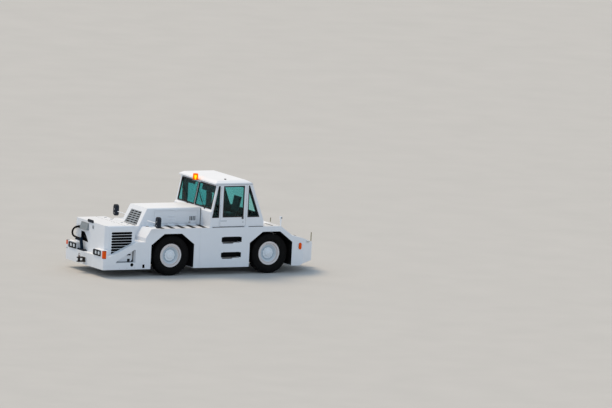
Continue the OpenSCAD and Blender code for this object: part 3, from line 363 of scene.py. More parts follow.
WHITE = (0.80, 0.82, 0.85)
M = {
    "body": paint("white_paint", WHITE),
    "nose": paint("nose_white_paint", WHITE, zone=dusty_top_zone),
    "cabin": paint("cab_white_paint", WHITE, dirt=0.05),
    # White paint with painted shade on the cab's inner faces
    "cab_wall": paint("cab_wall_paint_and_inner_shade", WHITE, dirt=0.05, zone=cab_inside_painted_shade),
    # Rim paint lighter than the body's white, as painted light on the recessed hubs; its zone adds painted
    # shade
    "rim": paint("rim_paint_with_painted_light_and_shade", (0.86, 0.90, 0.94), (0.3, 0.45), 0.1, 0.1, 1.0, rim_shade_and_dust_zone),
    "frame": paint("frame_black_paint", (0.035, 0.036, 0.04), (0.4, 0.6), 0.0, 0.8, 1.3),
    "axle": paint("axle_grey_paint", (0.09, 0.092, 0.095), (0.45, 0.65), 0.0, 0.8, 1.2),
    "hitch": paint("hitch_white_paint", (0.70, 0.71, 0.72), (0.3, 0.5), 0.1, 0.3, 0.5),
    "coupling": paint("coupling_paint", (0.62, 0.63, 0.64), (0.4, 0.6), 0.0, 0.3, 0.5, hitch_grease_and_gap_shade_zone),
    "black": plain("black_enamel", (0.022, 0.023, 0.026), (0.035, 0.036, 0.04), (0.25, 0.42), coat=0.2),
    "mirror_shell": plain("mirror_shell", (0.012, 0.018, 0.030), (0.020, 0.027, 0.042), (0.5, 0.65),
                          specular=0.2),
    "matt_black": plain("matt_black", (0.012, 0.012, 0.014), (0.022, 0.022, 0.024), (0.6, 0.8), specular=0.3),
    # Near-black: real on the lamp bezels, painted shade in slots, holes, arches and recesses
    "liner": plain("black_trim_and_painted_shade", (0.006, 0.006, 0.007), (0.010, 0.010, 0.011), (0.75, 0.9), specular=0.12),
    "grille": plain("grille_grey", (0.33, 0.36, 0.385), (0.27, 0.30, 0.33), (0.35, 0.5)),
    "iron": plain("engine_grey_iron", (0.14, 0.145, 0.15), (0.07, 0.07, 0.072), (0.5, 0.75), 7,
                  bump=(120, 0.4)),
    "core": fins("radiator_fins", (0.12, 0.125, 0.13), (0.01, 0.01, 0.01)),
    "tyre": rubber("tyre_rubber", (0.0038, 0.004, 0.0045), (0.011, 0.011, 0.011), specular=0.1),
    "seal": rubber("seal_rubber", (0.010, 0.010, 0.011), (0.022, 0.022, 0.022), 20),
    "mat": rubber("floor_rubber", (0.05, 0.052, 0.054), (0.10, 0.095, 0.09), 12),
    "cable": rubber("cable_rubber", (0.003, 0.003, 0.004), (0.008, 0.008, 0.008), 25, specular=0.08),
    "dash": plain("grained_plastic", (0.085, 0.092, 0.098), (0.10, 0.106, 0.112), (0.5, 0.65), 30,
                  bump=(500, 0.35)),
    "vinyl": plain("seat_vinyl", (0.060, 0.070, 0.080), (0.085, 0.095, 0.105), (0.38, 0.55), 12,
                   bump=(380, 0.45)),
    "glass": glass("teal_glass", (0.20, 0.615, 0.635)),
    "door_glass": glass("door_teal_glass", (0.24, 0.645, 0.66), ior=1.27),
    "quarter": glass("light_teal_glass", (0.56, 0.87, 0.86)),
    "clear": glass("clear_lens", (0.85, 0.88, 0.9), 0.03, 0.85),
    "pale": lens("pale_ribbed_lens", (0.86, 0.90, 0.92), (0.66, 0.70, 0.72)),
    "amber": lens("amber_lens", (0.80, 0.095, 0.001), (0.50, 0.036, 0.0005), 0.10, 0.03, 0.15),
    "marker": lens("marker_lens", (0.85, 0.10, 0.003), (0.60, 0.045, 0.001), 0.06, 0.03, 0.15),
    "red": lens("red_lens", (0.42, 0.012, 0.008), (0.2, 0.004, 0.004)),
    "beacon": tinted("beacon_lens", (0.98, 0.21, 0.003), (0.95, 0.13, 0.002), 0.16),
    "bulb": lens("beacon_bulb", (1.0, 0.80, 0.10), (1.0, 0.66, 0.06), 3.0),
    "mirror": plain("mirror_glass", (0.8, 0.82, 0.84), (0.76, 0.78, 0.8), (0.02, 0.05), metallic=1.0,
                    bump=(20, 0.005)),
    "zinc": plain("zinc_steel", (0.45, 0.46, 0.48), (0.3, 0.31, 0.32), (0.3, 0.5), 40, 0.85),
    "steel": plain("dark_steel", (0.09, 0.075, 0.065), (0.16, 0.085, 0.055), (0.5, 0.7), 30, 0.5, (90, 0.3)),
    "rust": plain("rusty_pin", (0.16, 0.05, 0.025), (0.08, 0.035, 0.02), (0.6, 0.8), 35, 0.3, (150, 0.5)),
    "rear_hitch": plain("hitch_dark_paint", (0.04, 0.04, 0.042), (0.08, 0.06, 0.05), (0.4, 0.6), 25),
    "flap": plain("flap_grey_paint", (0.19, 0.225, 0.25), (0.24, 0.275, 0.3), (0.3, 0.45), 9, coat=0.2),
    "post": plain("post_blue_paint", (0.002, 0.011, 0.026), (0.004, 0.017, 0.036), (0.5, 0.65), 9,
                  specular=0.08),
    "olive": plain("olive_paint", (0.17, 0.15, 0.035), (0.10, 0.09, 0.03), (0.4, 0.6), 20),
    "stripe": plain("black_grip_paint", (0.006, 0.006, 0.007), (0.016, 0.016, 0.017), (0.7, 0.9), 30,
                    bump=(700, 0.7), specular=0.2),
    "grip": plain("white_grip_paint", (0.62, 0.635, 0.65), (0.52, 0.53, 0.545), (0.6, 0.8), 14,
                  bump=(700, 0.7)),
    "dial": plain("dial_face", (0.6, 0.6, 0.58), (0.55, 0.55, 0.53), (0.4, 0.5), 40),
    "flange": plain("dusty_flange", (0.76, 0.70, 0.685), (0.60, 0.54, 0.525), (0.45, 0.65), 11),
}


def soften(obj, width, angle):
    """Rounds the edges where faces meet at more than an angle in degrees."""
    m = obj.modifiers.new("bevel", "BEVEL")
    m.width, m.segments, m.limit_method = width, 2, "ANGLE"
    m.angle_limit = math.radians(angle)
    m.harden_normals = True


def dress(node, material, bevel):
    """Gives a CAD node its material and, by a modifier, softened edges."""
    obj = NODES[node]
    obj.data.materials.clear()
    obj.data.materials.append(M[material])
    if bevel:
        weld = obj.modifiers.new("weld", "WELD")
        weld.merge_threshold = 0.00005
        soften(obj, bevel, 30)


for material, bevel, nodes in (
    ("frame", 0.004, "chassis"), ("body", 0.005, "front_bumper"), ("nose", 0.003, "nose_body"),
    # the nose's louvre blades are painted near-black as painted shade in their slots
    ("liner", 0, "nose_louvres"), ("body", 0.006, "side_left side_right"), ("body", 0.004, "rear_body"),
    ("body", 0.002, "hood hood_door_left hood_door_right"), ("grille", 0.002, "hood_grille"),
    ("core", 0.003, "radiator"), ("iron", 0.01, "powertrain"), ("axle", 0.004, "front_axle"),
    ("axle", 0.003, "knuckle_left knuckle_right rear_axle"),
    ("rim", 0, "rim_front_left rim_front_right rim_rear_left rim_rear_right"),
    ("cab_wall", 0.004, "cab_shell"), ("cab_wall", 0.003, "door_left door_right"),
    ("cabin", 0.006, "cab_roof"), ("mat", 0, "cab_floor"), ("dash", 0.006, "dashboard"),
    ("glass", 0, "windscreen"), ("quarter", 0, "cab_glass"),
    ("door_glass", 0, "door_glass_left door_glass_right"),
    ("coupling", 0.004, "front_hitch"), ("rear_hitch", 0.004, "rear_hitch"),
):
    for node in nodes.split():
        dress(node, material, bevel)


# Mesh building
def add(a, b):
    return tuple(p + q for p, q in zip(a, b))


def grid(rows, columns, close_rows=False, close_columns=True):
    """Faces between rows of points; the rows and each row's points may close into rings."""
    return [(i * columns + k, i * columns + (k + 1) % columns,
             (i + 1) % rows * columns + (k + 1) % columns, (i + 1) % rows * columns + k)
            for i in range(rows if close_rows else rows - 1)
            for k in range(columns if close_columns else columns - 1)]


def circle(sides, turn=0.0):
    """Cosine and sine at even steps round a circle."""
    steps = (math.tau * (k + turn) / sides for k in range(sides))
    return [(math.cos(t), math.sin(t)) for t in steps]


class Build:
    """Collects joined geometry for one piece."""

    def __init__(self):
        self.v, self.f = [], []

    def put(self, verts, faces):
        n = len(self.v)
        self.v += [tuple(p) for p in verts]
        self.f += [tuple(n + i for i in face) for face in faces]
        return self

    def box(self, a, b):
        lo, hi = [min(p, q) for p, q in zip(a, b)], [max(p, q) for p, q in zip(a, b)]
        v = [(x, y, z) for x in (lo[0], hi[0]) for y in (lo[1], hi[1]) for z in (lo[2], hi[2])]
        f = [(0, 1, 3, 2), (4, 6, 7, 5), (0, 4, 5, 1), (2, 3, 7, 6), (0, 2, 6, 4), (1, 5, 7, 3)]
        return self.put(v, f)

    def prism(self, points, place, h0, h1):
        """Outline [(a, b)] extruded from h0 to h1; place(a, b, h) gives the point."""
        n = len(points)
        v = [place(a, b, h) for h in (h0, h1) for a, b in points]
        side = [(i, (i + 1) % n, n + (i + 1) % n, n + i) for i in range(n)]
        return self.put(v, side + [tuple(range(n - 1, -1, -1)), tuple(range(n, 2 * n))])

    def ring(self, points, place, outward, inward, h0, h1):
        """Frame along an outline, from inward inside it to outward outside it."""
        out, inn = offset(points, outward), offset(points, -inward)
        v = [place(a, b, h) for ring, h in ((out, h0), (out, h1), (inn, h1), (inn, h0)) for a, b in ring]
        return self.put(v, grid(4, len(points), close_rows=True))

    def tube(self, points, r, sides=12):
        """Round bar along points; r is one radius or one for each point."""
        pts = [Vector(p) for p in points]
        radii = r if isinstance(r, (list, tuple)) else [r] * len(pts)
        v, side = [], None
        for i, p in enumerate(pts):
            d = (pts[min(i + 1, len(pts) - 1)] - pts[max(i - 1, 0)]).normalized()
            if side is None:
                side = d.orthogonal().normalized()
            side = (side - d * side.dot(d)).normalized()
            other = d.cross(side)
            v += [p + radii[i] * (c * side + s * other) for c, s in circle(sides)]
        ends = [tuple(range(sides - 1, -1, -1)), tuple(range((len(pts) - 1) * sides, len(pts) * sides))]
        return self.put(v, grid(len(pts), sides) + ends)

    def lathe(self, profile, place, segments=48, closed=False):
        """Outline [(radius, along)] turned about an axis; place(a, b, along) gives the point."""
        v = [place(r * c, r * s, h) for c, s in circle(segments) for r, h in profile]
        return self.put(v, grid(segments, len(profile), close_rows=True, close_columns=closed))

    def hexes(self, centres, axis, across, height):
        """Bolt heads: a low washer under a hexagon, standing along axis from each centre."""
        d = Vector(axis).normalized()
        s = d.orthogonal().normalized()
        o = d.cross(s)
        washer = height * 0.25
        for centre in centres:
            c = Vector(centre)
            for r, sides, a, b in ((across * 0.78, 16, 0, washer), (across / 1.732, 6, washer, height)):
                outline = [(r * p, r * q) for p, q in circle(sides)]
                self.prism(outline, lambda x, y, h: c + s * x + o * y + d * h, a, b)
        return self

    def mirror(self):
        """Adds the same geometry on the other side of the middle plane."""
        n = len(self.v)
        self.v += [(x, -y, z) for x, y, z in self.v]
        self.f += [tuple(n + i for i in reversed(face)) for face in self.f]
        return self

    def make(self, name, material, body="root", slot=None, bevel=0.0, smooth=35, replaces=()):
        """The finished piece, riding on its body."""
        mesh = bpy.data.meshes.new(name)
        mesh.from_pydata(self.v, [], self.f)
        bm = bmesh.new()
        bm.from_mesh(mesh)
        bmesh.ops.recalc_face_normals(bm, faces=bm.faces)
        bm.to_mesh(mesh)
        bm.free()
        mesh.materials.append(M[material])
        mesh.polygons.foreach_set("use_smooth", [True] * len(mesh.polygons))
        mesh.set_sharp_from_angle(angle=math.radians(smooth))
        obj = link(name, mesh)
        if bevel:
            soften(obj, bevel, 35)
        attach(obj, body)
        if replaces:
            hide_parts(*replaces)
        return obj


def builds(count):
    return [Build() for _ in range(count)]


def offset(points, d):
    """The outline moved outward by d, whichever way round it runs."""
    n = len(points)
    turns = zip(points, points[1:] + points[:1])
    sign = 1 if sum(a[0] * b[1] - b[0] * a[1] for a, b in turns) > 0 else -1
    made = []
    for i in range(n):
        (ax, ay), (bx, by), (cx, cy) = points[i - 1], points[i], points[(i + 1) % n]
        n1 = Vector((by - ay, ax - bx)).normalized() * sign
        n2 = Vector((cy - by, bx - cx)).normalized() * sign
        m = (n1 + n2) / max(0.3, 1 + n1.dot(n2))
        made.append((bx + m.x * d, by + m.y * d))
    return made


def rectangle(a0, b0, a1, b1):
    return [(a0, b0), (a1, b0), (a1, b1), (a0, b1)]


def rounded(a0, b0, a1, b1, r, steps=4):
    """A rectangle with round corners, as an outline."""
    made = []
    corners = (a1 - r, b1 - r), (a0 + r, b1 - r), (a0 + r, b0 + r), (a1 - r, b0 + r)
    for quarter, (cx, cy) in enumerate(corners):
        turns = [math.radians(90 * quarter + 90 * k / steps) for k in range(steps + 1)]
        made += [(cx + r * math.cos(t), cy + r * math.sin(t)) for t in turns]
    return made


def round_corners(points, r, steps=4):
    """Rounds each corner of an outline."""
    made = []
    for i, p in enumerate(points):
        p = Vector(p)
        a = (Vector(points[i - 1]) - p).normalized()
        b = (Vector(points[(i + 1) % len(points)]) - p).normalized()
        cut = r / math.tan(math.acos(max(-1, min(1, a.dot(b)))) / 2)
        start, end = p + a * cut, p + b * cut
        for k in range(steps + 1):
            t = k / steps
            made.append(tuple(start.lerp(p, t).lerp(p.lerp(end, t), t)))
    return made


def smooth_path(points, steps):
    """Points of a curve through the given ones."""
    p = [Vector(q) for q in points]
    made = []
    for i in range(len(p) - 1):
        a, b, c, d = p[max(i - 1, 0)], p[i], p[i + 1], p[min(i + 2, len(p) - 1)]
        for k in range(steps):
            t = k / steps
            made.append(0.5 * (2 * b + (c - a) * t + (2 * a - 5 * b + 4 * c - d) * t * t
                               + (3 * b - a - 3 * c + d) * t * t * t))
    return made + [p[-1]]


def in_xz(y, side=1):
    """Places an [x, z] outline on a side wall at y, with height standing outwards."""
    return lambda a, b, h: (a, side * (y + h), b)


def in_yz(x, side=1):
    """Places a [y, z] outline on a front or rear wall at x, with height standing outwards."""
    return lambda a, b, h: (x + side * h, a, b)


def in_xy(z=0.0, side=1):
    """Places an [x, y] outline on a level face at z, on the left or the right side."""
    return lambda a, b, h: (a, side * b, z + h)


def on_screen(a, b, h):
    """A point on the windscreen at y = a, height b, standing h out of it."""
    return (screen_x(b) + h, a, b + 0.19 * h)


def on_rear_wall(a, b, h):
    """A point on the cab's rear wall at y = a, height b, standing h out of it."""
    return (rear_x(b) - h, a, b + 0.39 * h)


# The towing cable, from the connector box down to the socket on the post
CABLE = [
    (3.776, -0.600, 1.345), (3.776, -0.660, 1.345), (3.790, -0.750, 1.338), (3.816, -0.840, 1.310),
    (3.846, -0.908, 1.260), (3.866, -0.945, 1.198), (3.876, -0.948, 1.132), (3.880, -0.915, 1.076),
    (3.880, -0.855, 1.040), (3.878, -0.770, 1.022), (3.876, -0.680, 1.014), (3.875, -0.580, 1.011),
    (3.875, -0.480, 1.010), (3.875, -0.401, 1.010),
]
CABLE_D = 0.060


def gland(at, to, name):
    """Threaded gland and tapered sleeve where the cable leaves its socket."""
    d = (Vector(to) - Vector(at)).normalized()
    spots = [Vector(at) + d * t for t in (0, 0.012, 0.013, 0.034, 0.036, 0.06, 0.085)]
    radii = [0.0345, 0.0345, 0.0335, 0.0335, 0.0325, 0.031, 0.0302]
    return Build().tube(spots, radii, 16).make(name, "cable")


def boot(path):
    """Tapered boot over the first quarter metre of the cable, with every second ring cut in."""
    ribs = (3, 5, 7, 9)
    radii = [max(0.0315, 0.046 - 0.0011 * k) - (0.004 if k in ribs else 0.0) for k in range(len(path))]
    return Build().tube(path, radii, 20).make("cable_boot", "cable")


def towing_cable():
    path = smooth_path(CABLE, 4)
    cable = Build().tube(path, CABLE_D / 2, 16).make("towing_cable", "cable", replaces=("cable",))
    ends = [gland(CABLE[0], CABLE[1], "cable_gland"), gland(CABLE[-1], CABLE[-2], "cable_socket"),
            boot(path[:14])]


towing_cable()

# Cab glass: the openings in the sheet, then the seals that frame them
PANE_LOW, PANE_HIGH = span("cab_glass", Z)
WINDOW_REAR, WINDOW_FRONT = span("door_glass_left", X)
WINDOW_LOW, WINDOW_HIGH = span("door_glass_left", Z)
QUARTER_F = [(screen_x(PANE_LOW) - 0.058, PANE_LOW), (screen_x(PANE_HIGH) - 0.058, PANE_HIGH),
             (fx(-1.602), PANE_HIGH), (fx(-1.602), PANE_LOW)]
QUARTER_R = [(fx(-2.645), PANE_LOW), (fx(-2.645), PANE_HIGH),
             (rear_x(PANE_HIGH) + 0.125, PANE_HIGH), (rear_x(PANE_LOW) + 0.125, PANE_LOW)]
DOOR_WINDOW = [(WINDOW_REAR, WINDOW_LOW), (WINDOW_REAR, WINDOW_HIGH),
               (WINDOW_FRONT, WINDOW_HIGH), (WINDOW_FRONT, WINDOW_LOW)]
DOORS = (1, "door_left"), (-1, "door_right")
HOOD_DOORS = (1, "hood_door_left"), (-1, "hood_door_right")


def window_seals():
    quarters, screens = builds(2)
    for outline in (QUARTER_F, QUARTER_R):
        quarters.ring(outline, in_xz(CAB_HALF), 0.012, 0.016, -0.02, 0.006)
    quarters.mirror().make("quarter_window_seals", "seal", bevel=0.002)
    for side, body in DOORS:
        Build().ring(DOOR_WINDOW, in_xz(CAB_HALF, side), 0.014, 0.02, -0.02, 0.006).make(
            f"{body}_window_seal", "seal", body, bevel=0.002)
    for s in (1, -1):
        pane = [(s * a, b) for a, b in rounded(0.02, SCREEN_FOOT, SCREEN_HALF, SCREEN_TOP, 0.035)]
        screens.ring(pane, on_screen, 0.006, 0.034, -0.02, 0.007)
    screens.make("windscreen_seals", "seal", bevel=0.002)
    Build().ring(rounded(-0.9, 1.9, 0.9, 2.7, 0.05), on_rear_wall, 0.016, 0.03, -0.02, 0.007).make(
        "rear_window_seal", "seal", bevel=0.002)


def wipers():
    b = Build()
    foot_z, tip_z = 2.058, 2.36
    for foot_y, tip_y in ((0.72, 0.33), (-0.42, -0.80)):
        pivot, tip = on_screen(foot_y, foot_z, 0.03), on_screen(tip_y, tip_z, 0.035)
        b.tube([on_screen(foot_y, foot_z, 0.0), pivot], 0.018, 16)
        b.tube([pivot, add(pivot, (0.004, 0, 0.02)), tip], [0.011, 0.009, 0.006], 8)
        for height, r in ((0.022, 0.008), (0.012, 0.005)):
            blade = (tip_y + 0.19, tip_z - 0.14), (tip_y - 0.19, tip_z + 0.16)
            b.tube([on_screen(y, z, height) for y, z in blade], r, 6)
    b.make("wipers", "matt_black", slot="cab_plastic")


def roof_joint():
    """The joint strip under the roof's edge."""
    b = Build()
    b.box((rear_x(ROOF_LOW) - 0.004, CAB_HALF - 0.004, ROOF_LOW - 0.007),
          (screen_x(ROOF_LOW) + 0.05, CAB_HALF + 0.003, ROOF_LOW - 0.001))
    b.mirror()
    x = screen_x(2.84)
    b.box((x + 0.001, -SCREEN_HALF, 2.838), (x + 0.006, SCREEN_HALF, 2.846))
    b.make("roof_joint_strip", "seal")


window_seals()
wipers()
roof_joint()


# Doors
def door_details(side, body):
    """Handle and keyhole, edge seal, rubbing strip and inner trim with its grab bar."""
    handle, seal, strip, trim = builds(4)
    face = in_xz(CAB_HALF, side)
    x, plate = fx(-2.473), 0.010
    handle.prism(rounded(x - 0.022, 1.764, x + 0.046, 1.872, 0.018), face, 0.001, plate)
    handle.prism(rounded(x - 0.004, 1.768, x + 0.030, 1.864, 0.012), face, plate, 0.0165)
    handle.prism(rounded(x - 0.018, 1.655, x + 0.008, 1.68, 0.010), face, 0, 0.006)
    handle.make(f"{body}_handle", "black", body, "cab_plastic", bevel=0.002)
    low, high = span(body, Z)
    edge = rectangle(span(body, X)[0], low, fx(-1.658), high)
    seal.ring(edge, in_xz(CAB_HALF - 0.044, side), -0.001, 0.014, 0, 0.012)
    seal.make(f"{body}_edge_seal", "seal", body)
    strip.prism(rounded(fx(-1.90), 1.706, fx(-1.67), 1.722, 0.006), face, 0, 0.003)
    strip.make(f"{body}_strip", "grille", body)
    trim.prism(rounded(fx(-2.40), 1.60, fx(-1.80), 1.78, 0.03), in_xz(CAB_HALF - 0.05, side), -0.012, 0.001)
    bar = ((-2.36, 0.06), (-2.36, 0.10), (-1.95, 0.10), (-1.95, 0.06))
    trim.tube([(fx(d), side * (CAB_HALF - inward), 1.81) for d, inward in bar], 0.012, 10)
    trim.make(f"{body}_inner_trim", "dash", body, bevel=0.003)


def hood_door_details(side, body):
    """Four vent slots with pressed rims, a black sheet behind them as painted shade, and two latches."""
    vent_shade, rims, latches = builds(3)
    face = in_xz(HOOD_HALF, side)
    # Painted shade: a black sheet behind the vent slots
    vent_shade.prism(rounded(fx(-1.15), 1.63, fx(-0.89), 1.815, 0.01), face, -0.011, -0.008)
    vent_shade.make(f"{body}_vent_shade_sheet", "liner", body)
    first, pitch, width = -1.122, 0.058, 0.034
    for k in range(4):
        x = fx(first + k * pitch)
        rims.ring(rectangle(x, 1.655, x + width, 1.79), face, 0.006, 0.0, -0.012, 0.004)
    rims.make(f"{body}_vent_rims", "body", body, bevel=0.001)
    for x in (fx(-0.95), fx(0.12)):
        latches.prism(rounded(x, 1.583, x + 0.07, 1.618, 0.014), face, 0, 0.008)
        latches.tube([(x + 0.035, side * (HOOD_HALF + h), 1.60) for h in (0.008, 0.02)], 0.011, 16)
    latches.make(f"{body}_latches", "zinc", body, bevel=0.0015)


for side, body in DOORS:
    door_details(side, body)
for side, body in HOOD_DOORS:
    hood_door_details(side, body)


# Decks and the side bodies
def decks():
    """Gritted strips with slanting black bars, and one bar across the rear deck."""
    bars, base = builds(2)
    inner, strip_in, strip_out = 0.577, 0.60, HALF_W - 0.012
    low, high = DECK_Z + 0.0005, DECK_Z + 0.0028
    first, pitch = 0.36, 0.3748
    for k in range(5):
        x = fx(first - k * pitch)
        bars.prism([(x - 0.15, inner), (x, inner), (x + 0.085, HALF_W - 0.03), (x - 0.065, HALF_W - 0.03)],
                   in_xy(), low, high)
    bars.box((fx(-3.635), strip_in, low), (fx(-3.585), 1.15, high))
    for rear, front in ((-1.30, 0.42), (-3.83, -3.25)):
        base.box((fx(rear), strip_in, DECK_Z), (fx(front), strip_out, DECK_Z + 0.0016))
    bars.mirror().make("deck_bars", "stripe")
    base.mirror().make("deck_grip", "grip")


def cab_foot_joint():
    """Joint strips along the cab's foot and up between the hood and the cab."""
    b = Build()
    for rear, front in ((-3.215, -2.69), (-2.53, -1.40)):
        b.box((fx(rear), CAB_HALF + 0.0005, DECK_Z), (fx(front), HALF_W - 0.006, DECK_Z + 0.016))
    b.box((CAB_FRONT + 0.0005, HOOD_HALF - 0.01, DECK_Z), (CAB_FRONT + 0.02, HOOD_HALF + 0.004, 2.035))
    b.mirror().make("cab_foot_joint", "seal")


def roof_vent_cap():
    Build().lathe([(0.0, 0.022), (0.026, 0.020), (0.034, 0.012), (0.034, 0.0), (0.0, 0.0)],
                  lambda a, b, h: (fx(-1.955) + a, 0.878 + b, 2.985 + h), 28).make(
        "roof_vent_cap", "matt_black", slot="cab_plastic")


def put_arch(shade_sheets, x):
    """The arch's own outline just inside the sheet, with a wall behind it above the frame, in black as
    painted shade.
    """
    arch = [(-0.765, 0.26), (-0.765, 1.0), (-0.31, 1.345), (0.31, 1.345), (0.765, 1.0), (0.765, 0.26)]
    outer = [(x + p, q) for p, q in arch]
    inner = [(x + p * 0.997, q - (0.002 if q > 0.9 else 0)) for p, q in arch]
    n = len(arch)
    faces = []
    for i in range(n - 1):
        faces += [(i, i + 1, n + i + 1, n + i), (n + i, n + i + 1, 3 * n + i + 1, 3 * n + i),
                  (2 * n + i, 3 * n + i, 3 * n + i + 1, 2 * n + i + 1)]
    sides = SIDE_IN + 0.001, HALF_W - 0.012
    shade_sheets.put([(p, y, q) for y in sides for line in (outer, inner) for p, q in line], faces)
    wall = [(outer[0][0], 0.80)] + outer[1:5] + [(outer[5][0], 0.80)]
    shade_sheets.prism(wall, lambda a, b, h: (a, h, b), SIDE_IN - 0.008, SIDE_IN - 0.001)


def arch_shade_sheets():
    """Black sheets as painted shade in the arches and in every hole and step of the wings and the louvred
    sides.
    """
    shade_sheets = Build()
    for x in (AXLE_X, REAR_X):
        put_arch(shade_sheets, x)
    # Painted shade in the round jacking hole and the slot behind it
    x, z, r, depth = fx(1.43), 0.39, 0.0545, 0.088
    shade_sheets.lathe([(0.0, 0.0), (r, 0.0), (r, depth - 0.004)],
                 lambda a, b, h: (x + a, HALF_W - depth + h, z + b), 32)
    slot_x, slot_z, half, high, slot_depth = fx(1.016), 0.335, 0.0375, 0.057, 0.078
    corners = rectangle(slot_x - half, slot_z - high, slot_x + half, slot_z + high)
    shade_sheets.put([(a, HALF_W - slot_depth * k - 0.001, b) for k in (0, 1) for a, b in corners],
               [(0, 1, 5, 4), (1, 2, 6, 5), (2, 3, 7, 6), (3, 0, 4, 7), (4, 5, 6, 7)])
    # Painted shade inside the step of a wing: a foot slot, a pocket and the gaps at its rear and lower edges
    wall = in_xz(HALF_W - 0.17)
    shade_sheets.prism(rounded(fx(1.40), 0.668, fx(1.56), 0.712, 0.02), wall, 0, 0.002)
    shade_sheets.prism(rounded(fx(1.425), 0.458, fx(1.52), 0.56, 0.012), wall, 0, 0.002)
    for a, b, c, d in ((1.311, 0.458, 1.337, 0.85), (1.337, 0.4555, 1.92, 0.474), (1.311, 0.456, 1.37, 0.52)):
        shade_sheets.prism(rectangle(fx(a), b, fx(c), d), wall, 0, 0.0015)
    # Painted shade on the edges inside the nose's louvre slots
    rear, front = span("nose_louvres", X)
    first, pitch, half = 0.754, 0.088, 0.033
    for k in range(8):
        z = first + k * pitch
        slot = rounded(rear + 0.03, z - half, front - 0.03, z + half, 0.0325, 6)
        shade_sheets.ring(slot, in_xz(1.05), 0.0045, 0.0005, -0.029, 0.0008)
    shade_sheets.mirror().make("arch_shade_sheets", "liner")


decks()
cab_foot_joint()
roof_vent_cap()
arch_shade_sheets()


# Lamps
def headlamps():
    """Square double lamps, sunk in a frame 30 mm deep."""
    shell, bezel, bowl, front = builds(4)
    x, depth = WEIGHT_X, 0.030
    low, high = span("headlamps", Z)
    face = in_yz(x)
    outline = rounded(0.595, low, span("headlamps", Y)[1], high, 0.018)
    shell.prism(outline, face, 0, 0.004)
    shell.ring(outline, face, 0, 0.016, 0.003, depth)
    shell.box((x, 0.826, low + 0.005), (x + depth, 0.838, high - 0.005))
    for y in (0.742, 0.938):
        square = rounded(y - 0.085, low + 0.012, y + 0.085, high - 0.012, 0.022)
        bezel.ring(square, face, 0, 0.026, 0.004, 0.010)
        bowl.prism(offset(square, -0.025), face, 0.004, 0.0045)
        front.prism(offset(square, -0.0255), face, 0.0045, 0.0078)
        for k in range(6):
            rib = y - 0.045 + k * 0.018
            front.box((x + 0.0078, rib - 0.002, 0.702), (x + 0.0087, rib + 0.002, 0.783))
    shell.mirror().make("headlamp_frames", "matt_black", bevel=0.002, replaces=("headlamps",))
    bezel.mirror().make("headlamp_bezels", "liner", slot="lamp_frame", bevel=0.002)
    bowl.mirror().make("headlamp_reflectors", "dial")
    front.mirror().make("headlamp_lenses", "pale", bevel=0.0008)


def corner_lamps():
    """Ribbed orange corner lamps; the right one is orange above a white foot, as in the photograph."""
    near, far, foot, base = builds(4)
    left, right = in_xy(), in_xy(side=-1)
    low, split, high = 0.612, 0.715, 0.838
    first_rib, pitch = 0.632, 0.0262
    outline = round_corners(rectangle(fx(2.363), 1.163, WEIGHT_X + 0.0098, 1.2598), 0.014)
    near.prism(outline, left, low, high)
    far.prism(outline, right, split, high)
    for build, place, first in ((near, left, 0), (far, right, 4)):
        for k in range(first, 8):
            z = first_rib + k * pitch
            build.ring(offset(outline, -0.001), place, 0.0012, 0.004, z, z + 0.008)
    base.prism(offset(outline, -0.003), left, 0.6005, low)
    base.prism(offset(outline, -0.003), left, high, 0.8495)
    foot.prism(offset(outline, -0.0015), right, low, split)
    far.make("corner_indicator_right", "amber", bevel=0.003)
    foot.make("corner_indicator_right_foot", "body", bevel=0.003)
    near.make("corner_indicator_left", "amber", bevel=0.003, replaces=("indicators",))
    base.mirror().make("corner_indicator_bases", "black", bevel=0.001)


def side_markers():
    """Oval orange markers on the tail's sides."""
    oval, seat = builds(2)
    x = fx(-4.57)
    outline = rounded(x - 0.051, 0.756, x + 0.051, 0.964, 0.0505, 10)
    seat.prism(offset(outline, 0.004), in_xz(HALF_W), 0, 0.007)
    for inset, h0, h1 in ((0.0, 0.007, 0.013), (0.010, 0.013, 0.017), (0.022, 0.017, 0.0198)):
        oval.prism(offset(outline, -inset), in_xz(HALF_W), h0, h1)
    oval.mirror().make("side_markers", "marker", bevel=0.0015)
    seat.mirror().make("side_marker_seats", "black", bevel=0.001)


def tail_lamps():
    red, amber, box = builds(3)
    face = in_yz(TAIL_X, -1)
    box.prism(rounded(0.380, 0.740, 0.560, 0.830, 0.01), face, 0, 0.008)
    red.prism(rounded(0.384, 0.744, 0.478, 0.826, 0.008), face, 0.006, 0.0155)
    amber.prism(rounded(0.480, 0.744, 0.556, 0.826, 0.008), face, 0.006, 0.0155)
    red.mirror().make("tail_lamps", "red", bevel=0.002, replaces=("rear_lamps",))
    amber.mirror().make("tail_indicators", "amber", bevel=0.002)
    box.mirror().make("tail_lamp_housings", "black", bevel=0.001)


def work_lamp():
    """The lamp on its post on the rear deck, with a sleeve round the post."""
    head, rim, glazing = builds(3)
    x, y, z = fx(-4.35), 0.3, 1.625

    def disc(half_y, half_z, r, steps=4):
        return rounded(y - half_y, z - half_z, y + half_y, z + half_z, r, steps)

    head.prism(rounded(y - 0.032, z - 0.048, y + 0.032, z + 0.049, 0.018), in_yz(x + 0.030, -1), 0, 0.045)
    head.box((x - 0.015, y - 0.015, z - 0.05), (x + 0.015, y + 0.015, z - 0.046))
    rim.prism(disc(0.0335, 0.036, 0.03, 6), in_yz(x + 0.012, -1), 0, 0.0455)
    glazing.prism(disc(0.027, 0.027, 0.025, 6), in_yz(x - 0.0325, -1), 0, 0.0012)
    head.tube([(x, y, DECK_Z + 0.004), (x, y, 1.574)], 0.024, 18)
    head.make("work_lamp", "body", bevel=0.002)
    rim.make("work_lamp_rim", "matt_black", bevel=0.002)
    glazing.make("work_lamp_lens", "clear", bevel=0.0005)


